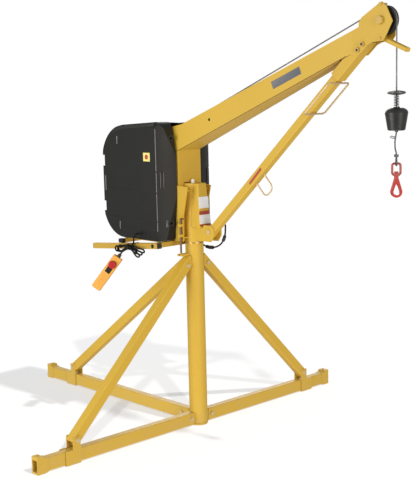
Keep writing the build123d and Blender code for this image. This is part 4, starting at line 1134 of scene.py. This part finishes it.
@dataclass
class HangingGear(Dresser):
    """The free fall of rope, the buffer spring below it and a twist of binding wire."""

    axis_x: float = 1.1928
    fall_low: float = 1.625
    fall_high: float = 1.883
    rope: float = 0.003
    strands: int = 6
    strand_sides: int = 4
    strand_pinch: float = 0.84
    lay_turns: float = 6.5
    lay_steps: int = 150
    spring_low: float = 1.547
    spring_high: float = 1.593
    spring_radius: float = 0.0098
    spring_play: float = 0.0002
    wire: float = 0.0013
    wire_sides: int = 12
    turns: int = 7
    turn_steps: int = 28
    twist_radius: float = 0.0019
    twist: tuple[Point, ...] = (
        (1.1912, -0.0018, 1.4262),
        (1.1850, -0.0075, 1.4240),
        (1.1790, -0.0140, 1.4262),
        (1.1755, -0.0178, 1.4300),
        (1.1790, -0.0140, 1.4335),
        (1.1850, -0.0080, 1.4310),
        (1.1900, -0.0030, 1.4285),
    )

    def _screwed(self, name: str, turns: float, rise: float, steps: int, start: float) -> bpy.types.Object:
        """Wind the active outline up the rope's axis.

        Args:
            name: the piece's name.
            turns: how many turns it makes.
            rise: how far it climbs.
            steps: in how many steps.
            start: the height that it starts at.

        Returns:
            The closed piece.
        """
        obj = bpy.context.active_object
        Bench.apply(
            obj,
            "SCREW",
            {
                "axis": "Z",
                "angle": 2 * math.pi * turns,
                "screw_offset": rise,
                "steps": steps,
                "render_steps": steps,
                "use_smooth_shade": True,
            },
        )
        bpy.ops.object.mode_set(mode="EDIT")
        bpy.ops.mesh.select_all(action="SELECT")
        bpy.ops.mesh.fill_holes(sides=0)
        bpy.ops.mesh.normals_make_consistent(inside=False)
        bpy.ops.object.mode_set(mode="OBJECT")
        obj.location = (self.axis_x, 0.0, start)
        return Bench.smooth(Bench.settle(name))

    def build_fall(self) -> None:
        """Lay up the rope: a pinched ring of strands, turned as it rises."""
        Bench.fresh()
        sides = self.strands * self.strand_sides
        bpy.ops.mesh.primitive_circle_add(vertices=sides, radius=self.rope, fill_type="NOTHING")
        ring = bpy.context.active_object
        Bench.edit("VERT", "DESELECT")
        bpy.ops.object.mode_set(mode="OBJECT")
        for vertex in ring.data.vertices:
            vertex.select = vertex.index % self.strand_sides == 0
        bpy.ops.object.mode_set(mode="EDIT")
        pinch = (self.strand_pinch, self.strand_pinch, 1.0)
        bpy.ops.transform.resize(value=pinch, center_override=(0, 0, 0))
        bpy.ops.object.mode_set(mode="OBJECT")
        rise = self.fall_high - self.fall_low
        fall = self._screwed("rope_fall_laid", self.lay_turns, rise, self.lay_steps, self.fall_low)
        self.dress(fall, Slot.ROPE)
        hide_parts("rope_fall")
        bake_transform(fall)

    def build_spring(self) -> None:
        """Wind the spring between the weight and the striker disc."""
        Bench.fresh()
        bpy.ops.mesh.primitive_circle_add(
            vertices=self.wire_sides, radius=self.wire, fill_type="NOTHING",
            location=(self.spring_radius, 0, 0), rotation=(math.pi / 2, 0, 0),
        )
        bpy.ops.object.transform_apply(location=True, rotation=True, scale=True)
        clear = self.wire + self.spring_play
        rise = self.spring_high - self.spring_low - 2 * clear
        steps = self.turn_steps * self.turns
        spring = self._screwed("spring_coil", self.turns, rise, steps, self.spring_low + clear)
        self.dress(spring, Slot.STEEL, DULL_STEEL)
        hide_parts("buffer_spring")
        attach(spring, "hook_block")
        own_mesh(spring)

    def build_twist(self) -> None:
        """Bend the short end of binding wire that stands out under the weight."""
        twist = Bench.bead("tail_twist", self.twist, self.twist_radius)
        self.put(twist, "hook_block", Slot.ROPE)

    def build(self) -> None:
        """Build the gear from the top down."""
        self.build_fall()
        self.build_spring()
        self.build_twist()


@dataclass
class CoverTrim(Dresser):
    """Pale creases, grip lips and clips painted as highlights, paler brows painted as the lit top edge, and
    grip slots, latches, bands and a plain plate on the winch cover.
    """

    half: float = 0.171
    corner: float = -0.069
    nose: float = -0.015
    # Lower and upper end of each stretch of crease
    crease_span: tuple[float, ...] = (0.968, 1.012, 1.018, 1.150, 1.156, 1.250, 1.256, 1.456)
    crease_radius: float = 0.0017
    crease_inset: float = 0.0002
    slot_y: float = 0.1485
    slot_z: float = 1.2135
    slot_proud: float = 0.001
    grip_slot: Block = Block((0.077, 0.019, 0.006), 0.0009, 0.0032)
    lip_inset: float = 0.003
    grip_lip: Block = Block((0.077, 0.0026, 0.0026), 0.0007)
    latches: tuple[Pair, ...] = ((0.104, 1.411), (0.112, 1.005))
    ring_sink: float = 0.002
    latch_ring: Disc = Disc(0.0135, 0.0078, 0.0052, 32, 0.001)
    pad_y: float = 0.132
    latch_pad: Block = Block((0.036, 0.013, 0.006), 0.0012, 0.002)
    bands: tuple[float, ...] = (1.160, 1.020, 0.972)
    band_back: float = -0.425
    band_inset: float = 0.010
    band_tall: float = 0.004
    band_thick: float = 0.0016
    # Place along the side, height and length of each clip
    clips: tuple[Point, ...] = ((-0.357, 1.400, 0.040), (-0.353, 0.981, 0.038), (-0.457, 1.186, 0.075))
    clip_section: Pair = (0.006, 0.004)
    clip_edge: float = 0.0008
    clip_rim: float = 0.0016
    plate_x: Pair = (-0.160, -0.112)
    plate_z: Pair = (1.302, 1.343)
    plate_thick: float = 0.0012
    plate_proud: float = 0.0003
    plate_edge: float = 0.0003
    plate_rim: float = 0.003
    dot: Disc = Disc(0.0115, 0.0, 0.0008, 32, 0.0002)
    dot_proud: float = 0.0006
    brow_low: tuple[Pair, ...] = (
        (-0.076, 1.4685),
        (-0.150, 1.4643),
        (-0.230, 1.4597),
        (-0.305, 1.4553),
        (-0.335, 1.4517),
        (-0.365, 1.4440),
        (-0.395, 1.4285),
    )
    brow_rise: float = 0.0155
    brow_proud: float = 0.0004
    brow_thick: float = 0.0016

    def seat(self, y: float, z: float, proud: float) -> Matrix:
        """A frame on the swelling front of the cover.

        Args:
            y: its place across the front.
            z: its height.
            proud: how far it stands out.

        Returns:
            The frame, facing out, with its X axis upright.
        """
        sag = self.nose - self.corner
        radius = (self.half**2 + sag**2) / (2 * sag)
        reach = math.sqrt(radius**2 - y**2)
        out = Vector((reach, y, 0)).normalized()
        x = self.nose - radius + reach
        return frame_at((x + out.x * proud, y + out.y * proud, z), UPRIGHT, out[:])

    def build_creases(self) -> None:
        """Run a pale bead up each front corner, a painted highlight on the corner, broken where the mould's
        bands cross it.
        """
        pieces = []
        x, y = self.corner - self.crease_inset, self.half - self.crease_inset
        for side in SIDES:
            for low, high in zip(self.crease_span[::2], self.crease_span[1::2]):
                ends = [(x, side * y, z) for z in (low, high)]
                pieces.append(Bench.bead(f"crease_{side}_{low}", ends, self.crease_radius))
        self.put(Bench.join("cover_creases", pieces), "jib", Slot.COVER, COVER_HIGHLIGHT)

    def build_fittings(self) -> None:
        """Set the grip slots, the rings and pads of the latches, the bands and the clips."""
        pieces, painted_highlights, pads = [], [], []
        _, wide, thick = self.grip_slot.size
        for side in SIDES:
            y = side * self.half
            seat = self.seat(side * self.slot_y, self.slot_z, self.slot_proud)
            pieces.append(Bench.block(f"grip_slot_{side}", self.grip_slot, seat))
            for across in (-0.5, 0.5):
                lip = seat @ Matrix.Translation((0, across * (wide - self.lip_inset), thick / 2))
                painted_highlights.append(Bench.block(f"grip_lip_{side}_{across}", self.grip_lip, lip))
            seat = self.seat(side * self.pad_y, self.latches[1][1], 0.0)
            pads.append(Bench.block(f"latch_pad_{side}", self.latch_pad, seat))
            for latch_y, z in self.latches:
                seat = self.seat(side * latch_y, z, -self.ring_sink)
                pieces.append(Bench.disc(f"latch_ring_{side}_{z}", self.latch_ring, seat))
            for z in self.bands:
                band = [(self.band_back, y, z), (self.corner - self.band_inset, y, z)]
                across = (0, 0, self.band_tall)
                pieces.append(Bench.strip(f"band_{side}_{z}", band, across, self.band_thick))
            for x, z, tall in self.clips:
                seat = frame_at((x, y, z), UPRIGHT, (0, side, 0))
                clip = Block((tall, *self.clip_section), self.clip_edge, self.clip_rim)
                painted_highlights.append(Bench.block(f"clip_{side}_{z}", clip, seat))
        self.put(Bench.join("cover_fittings", pieces), "jib", Slot.COVER)
        # The lips and the clips are paler than the cover: painted highlights
        self.put(Bench.join("cover_grips", painted_highlights), "jib", Slot.COVER, COVER_HIGHLIGHT)
        self.put(Bench.join("latch_pads", pads), "jib", Slot.COVER, LATCH_GREY)

    def build_brows(self) -> None:
        """Run a paler strip along the top of each side, a painted highlight where the top edge catches the
        light.
        """
        pieces = []
        for side in SIDES:
            low = [(x, side * (self.half + self.brow_proud), z) for x, z in self.brow_low]
            across = (0, -side * self.brow_proud, self.brow_rise)
            pieces.append(Bench.strip(f"brow_{side}", low, across, self.brow_thick))
        self.put(Bench.join("cover_top_highlights", pieces), "jib", Slot.COVER, COVER_TOP_HIGHLIGHT)

    def build_plate(self) -> None:
        """Fix the plain plate with a dot on it."""
        x, y, z = sum(self.plate_x) / 2, -self.half - self.plate_proud, sum(self.plate_z) / 2
        size = (self.plate_x[1] - self.plate_x[0], self.plate_z[1] - self.plate_z[0], self.plate_thick)
        blank = Block(size, self.plate_edge, self.plate_rim)
        seat = frame_at((x, y, z), ALONG_X, NEAR_SIDE)
        self.put(Bench.block("cover_plate", blank, seat), "jib", Slot.YELLOW, PLATE_GOLD)
        seat = frame_at((x, y - self.dot_proud, z), ALONG_X, NEAR_SIDE)
        self.put(Bench.disc("plate_dot", self.dot, seat), "jib", Slot.YELLOW, PLATE_RED)

    def build(self) -> None:
        """Add the trim to the cover."""
        self.build_creases()
        self.build_fittings()
        self.build_brows()
        self.build_plate()


@dataclass
class HeadTrim(Dresser):
    """Blank plates and welds on the slewing head, strut and boom, with painted shade along the boom's lower
    folds and in the sockets of the strut's bolts.
    """

    # Front, height and half width of the gusset at its foot and its top
    gusset_low: Point = (0.083, 0.985, 0.040)
    gusset_top: Point = (0.064, 1.193, 0.030)
    pale_plates: tuple[Pair, ...] = ((1.076, 1.130), (1.002, 1.045))
    pale_rim: float = 0.0025
    red_bands: tuple[Pair, ...] = ((1.046, 1.063), (0.991, 1.000))
    red_rim: float = 0.0015
    plate_margin: float = 0.006
    plate_thick: float = 0.0012
    plate_edge: float = 0.0003
    plate_proud: float = 0.0003
    slip_ends: tuple[Pair, Pair] = ((0.400, 1.208), (0.473, 1.280))
    slip_y: float = -0.0203
    slip_wide: float = 0.011
    slip_thick: float = 0.0010
    slip_rim: float = 0.002
    badge: Block = Block((0.168, 0.033, 0.0012), 0.0003, 0.0025)
    badge_middle: Pair = (0.652, 1.6735)
    badge_along: Pair = (0.932, 0.362)
    badge_proud: float = 0.0004
    # Place and half width of the boom at its tail and its neck
    boom_tail: Pair = (-0.080, 0.072)
    boom_neck: Pair = (1.000, 0.032)
    # The dark bead along each lower fold of the boom, painted shade
    fold_shade_ends: tuple[Pair, Pair] = ((-0.080, 1.327), (0.985, 1.757))
    fold_shade_shares: tuple[float, ...] = (0.02, 0.35, 0.68, 0.985)
    fold_shade_inset: float = 0.0006
    fold_shade_rise: float = 0.0010
    fold_shade_radius: float = 0.0015
    weld_x: float = 0.030
    weld_gaps: Pair = (0.004, 0.006)
    weld_radius: float = 0.0018
    strut_heads: tuple[Point, ...] = ((1.027, -0.0393, 1.773), (1.051, -0.0393, 1.795))
    socket: Disc = Disc(0.0055, 0.0, 0.0006, 24, 0.0001)

    def _gusset(self, height: float) -> Pair:
        """Where the gusset's front lies at a height.

        Args:
            height: the height.

        Returns:
            The front's place and the gusset's half width there.
        """
        (front, low, half), (top_front, high, top_half) = self.gusset_low, self.gusset_top
        share = (height - low) / (high - low)
        return front + share * (top_front - front), half + share * (top_half - half)

    def _boom_half(self, x: float) -> float:
        """The boom's half width at a place along it."""
        share = (x - self.boom_tail[0]) / (self.boom_neck[0] - self.boom_tail[0])
        return self.boom_tail[1] + share * (self.boom_neck[1] - self.boom_tail[1])

    def _gusset_plate(self, span: Pair, rim: float, finish: Finish) -> None:
        """Fix one plate to the gusset's front.

        Args:
            span: from and to which height it goes.
            rim: width of its raised rim.
            finish: how it looks.
        """
        middle = sum(span) / 2
        front, half = self._gusset(middle)
        up = Vector((self._gusset(span[1])[0] - self._gusset(span[0])[0], 0, span[1] - span[0]))
        out = Vector((up.z, 0, -up.x)).normalized()
        place = Vector((front, 0, middle)) + out * self.plate_proud
        blank = Block((up.length, 2 * half - self.plate_margin, self.plate_thick), self.plate_edge, rim)
        seat = frame_at(place[:], up[:], out[:])
        piece = Bench.block(f"gusset_{finish.name}_{span[0]}", blank, seat)
        self.put(piece, "jib", Slot.YELLOW, finish)

    def build_plates(self) -> None:
        """Fix the blank plates to the gusset, the strut and the boom."""
        for span in self.pale_plates:
            self._gusset_plate(span, self.pale_rim, PLATE_PALE)
        for span in self.red_bands:
            self._gusset_plate(span, self.red_rim, PLATE_RED)
        (x0, z0), (x1, z1) = self.slip_ends
        along = Vector((x1 - x0, 0, z1 - z0))
        seat = frame_at(((x0 + x1) / 2, self.slip_y, (z0 + z1) / 2), along[:], NEAR_SIDE)
        slip = Block((along.length, self.slip_wide, self.slip_thick), self.plate_edge, self.slip_rim)
        self.put(Bench.block("strut_plate", slip, seat), "jib", Slot.YELLOW, PLATE_RED)
        x, z = self.badge_middle
        run, rise = self.badge_along
        taper = (self.boom_tail[1] - self.boom_neck[1]) / (self.boom_neck[0] - self.boom_tail[0])
        out = Vector((taper, -1, 0)).normalized()
        place = Vector((x, -self._boom_half(x), z)) + out * self.badge_proud
        seat = frame_at(place[:], (run, run * taper, rise), out[:])
        self.put(Bench.block("boom_plate", self.badge, seat), "jib", Slot.YELLOW, PLATE_GREY)

    def _boom_fold_shade(self, side: int) -> bpy.types.Object:
        """Run a dark bead along the fold at the boom's lower edge, painted shade.

        Args:
            side: -1 for the near side, 1 for the far one.

        Returns:
            The seam.
        """
        (x0, z0), (x1, z1) = self.fold_shade_ends
        points = []
        for share in self.fold_shade_shares:
            x, z = x0 + share * (x1 - x0), z0 + share * (z1 - z0)
            points.append((x, side * (self._boom_half(x) - self.fold_shade_inset), z + self.fold_shade_rise))
        return Bench.bead(f"boom_fold_shade_{side}", points, self.fold_shade_radius)

    def build_welds(self) -> None:
        """Run the weld beads and the beads of painted shade along the boom's folds."""
        beads, fold_shades = [], []
        low_gap, high_gap = self.weld_gaps
        for side in SIDES:
            low = (self.weld_x, side * self.gusset_low[2], self.gusset_low[1] + low_gap)
            high = (self.weld_x, side * self.gusset_top[2], self.gusset_top[1] - high_gap)
            beads.append(Bench.bead(f"gusset_weld_{side}", [low, high], self.weld_radius))
            fold_shades.append(self._boom_fold_shade(side))
        self.put(Bench.join("head_welds", beads), "jib", Slot.YELLOW, WELD)
        self.put(Bench.join("boom_fold_shades", fold_shades), "jib", Slot.YELLOW, FOLD_SHADE)

    def build_sockets(self) -> None:
        """Lay a dark disc on each bolt at the strut's head, painted shade in its socket."""
        pieces = []
        for number, place in enumerate(self.strut_heads):
            face = frame_at(place, ALONG_X, NEAR_SIDE)
            pieces.append(Bench.disc(f"strut_socket_{number}", self.socket, face))
        self.put(Bench.join("strut_sockets", pieces), "jib", Slot.BLACK, SOCKET_SHADE)

    def build(self) -> None:
        """Add plates, welds and the beads and discs of painted shade."""
        self.build_plates()
        self.build_welds()
        self.build_sockets()


@dataclass
class BaseTrim(Dresser):
    """The weld at the mast's foot, bolts on the push bars and caps on the rear cross bar."""

    mast_radius: float = 0.04445
    foot: float = 0.008
    weld_points: int = 36
    weld_radius: float = 0.0025
    bar_y: float = 0.204
    bar_bolts: tuple[Pair, ...] = ((-0.0725, 0.9023), (-0.318, 0.8817))
    bolt: Disc = Disc(0.0065, 0.0, 0.004, 6, 0.0006)
    washer: Disc = Disc(0.0095, 0.0, 0.0012, 24, 0.0002)
    cap_middle: Point = (-0.318, 0.192, 0.9077)
    cap: Block = Block((0.0285, 0.0240, 0.0200), 0.0025)

    def build_weld(self) -> None:
        """Run the weld round the mast's foot."""
        turns = [2 * math.pi * number / self.weld_points for number in range(self.weld_points)]
        ring = [(self.mast_radius * math.cos(a), self.mast_radius * math.sin(a), self.foot) for a in turns]
        weld = Bench.bead("mast_weld", ring, self.weld_radius, closed=True)
        self.put(weld, "tripod", Slot.YELLOW, WELD)

    def build_bolts(self) -> None:
        """Set the bolts and their washers, and the caps on the rear cross bar."""
        pieces = []
        for side in SIDES:
            for x, z in self.bar_bolts:
                seat = frame_at((x, side * self.bar_y, z), ALONG_X, (0, side, 0))
                pieces.append(Bench.disc(f"bar_bolt_{side}_{x}", self.bolt, seat))
                pieces.append(Bench.disc(f"bar_washer_{side}_{x}", self.washer, seat))
            x, y, z = self.cap_middle
            seat = frame_at((x, side * y, z), ALONG_X, UPRIGHT)
            pieces.append(Bench.block(f"bar_cap_{side}", self.cap, seat))
        self.put(Bench.join("bar_bolts", pieces), "jib", Slot.BLACK)

    def build(self) -> None:
        """Add the weld, the bolts and the caps."""
        self.build_weld()
        self.build_bolts()


@dataclass
class PendantTrim(Dresser):
    """The stop button's collar, the rocker's bezel and the ribs of the grip."""

    top: Point = (-0.24743, -0.27352, 0.84275)
    up: Point = (82.0, 88.0, 157.0)
    face: Point = (0.68, -0.732, 0.055)
    face_out: float = 0.018
    stop_drop: float = 0.045
    collar: Disc = Disc(0.0195, 0.0105, 0.0014, 40, 0.0003)
    rocker_drop: float = 0.077
    bezel_proud: float = 0.0004
    # How far the bars of the bezel lie from the rocker's middle, along the case and across it
    bezel_rise: float = 0.0145
    bezel_side: float = 0.0119
    end_bar: Block = Block((0.003, 0.025, 0.0016), 0.0004)
    side_bar: Block = Block((0.026, 0.0025, 0.0016), 0.0004)
    rib: Block = Block((0.0045, 0.030, 0.0018), 0.0006)
    rib_rises: tuple[float, ...] = (-0.118, -0.128, -0.138, -0.148, -0.158)

    def frame(self, out: float, rise: float) -> Matrix:
        """A frame that faces out of the case.

        Args:
            out: its place before the case's middle.
            rise: its place along the case, from the top.

        Returns:
            The frame.
        """
        up = Vector(self.up).normalized()
        face = Vector(self.face)
        face = (face - up * face.dot(up)).normalized()
        place = Vector(self.top) + face * out + up * rise
        return frame_at(place[:], up[:], face[:])

    def build(self) -> None:
        """Add the trim to the case."""
        pieces = [Bench.disc("stop_collar", self.collar, self.frame(self.face_out, -self.stop_drop))]
        out = self.face_out + self.bezel_proud
        for rise in (self.bezel_rise, -self.bezel_rise):
            seat = self.frame(out, -self.rocker_drop + rise)
            pieces.append(Bench.block(f"bezel_{rise}", self.end_bar, seat))
        for side in (self.bezel_side, -self.bezel_side):
            seat = self.frame(out, -self.rocker_drop) @ Matrix.Translation((0, side, 0))
            pieces.append(Bench.block(f"bezel_side_{side}", self.side_bar, seat))
        self.put(Bench.join("pendant_trim", pieces), "jib", Slot.BLACK)
        ribs = []
        for rise in self.rib_rises:
            ribs.append(Bench.block(f"grip_{rise}", self.rib, self.frame(self.face_out, rise)))
        self.put(Bench.join("pendant_grip", ribs), "jib", Slot.PENDANT)


def main() -> None:
    """Build the whole scene."""
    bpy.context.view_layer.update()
    studio = Studio()
    studio.build_camera()
    paint = Paintbox()
    for assembly in (CarriedPieces, Cables, HangingGear, CoverTrim, HeadTrim, BaseTrim, PendantTrim):
        assembly(paint).build()
    studio.build_light()
    studio.build_floor()


if __name__ == "__main__":
    main()
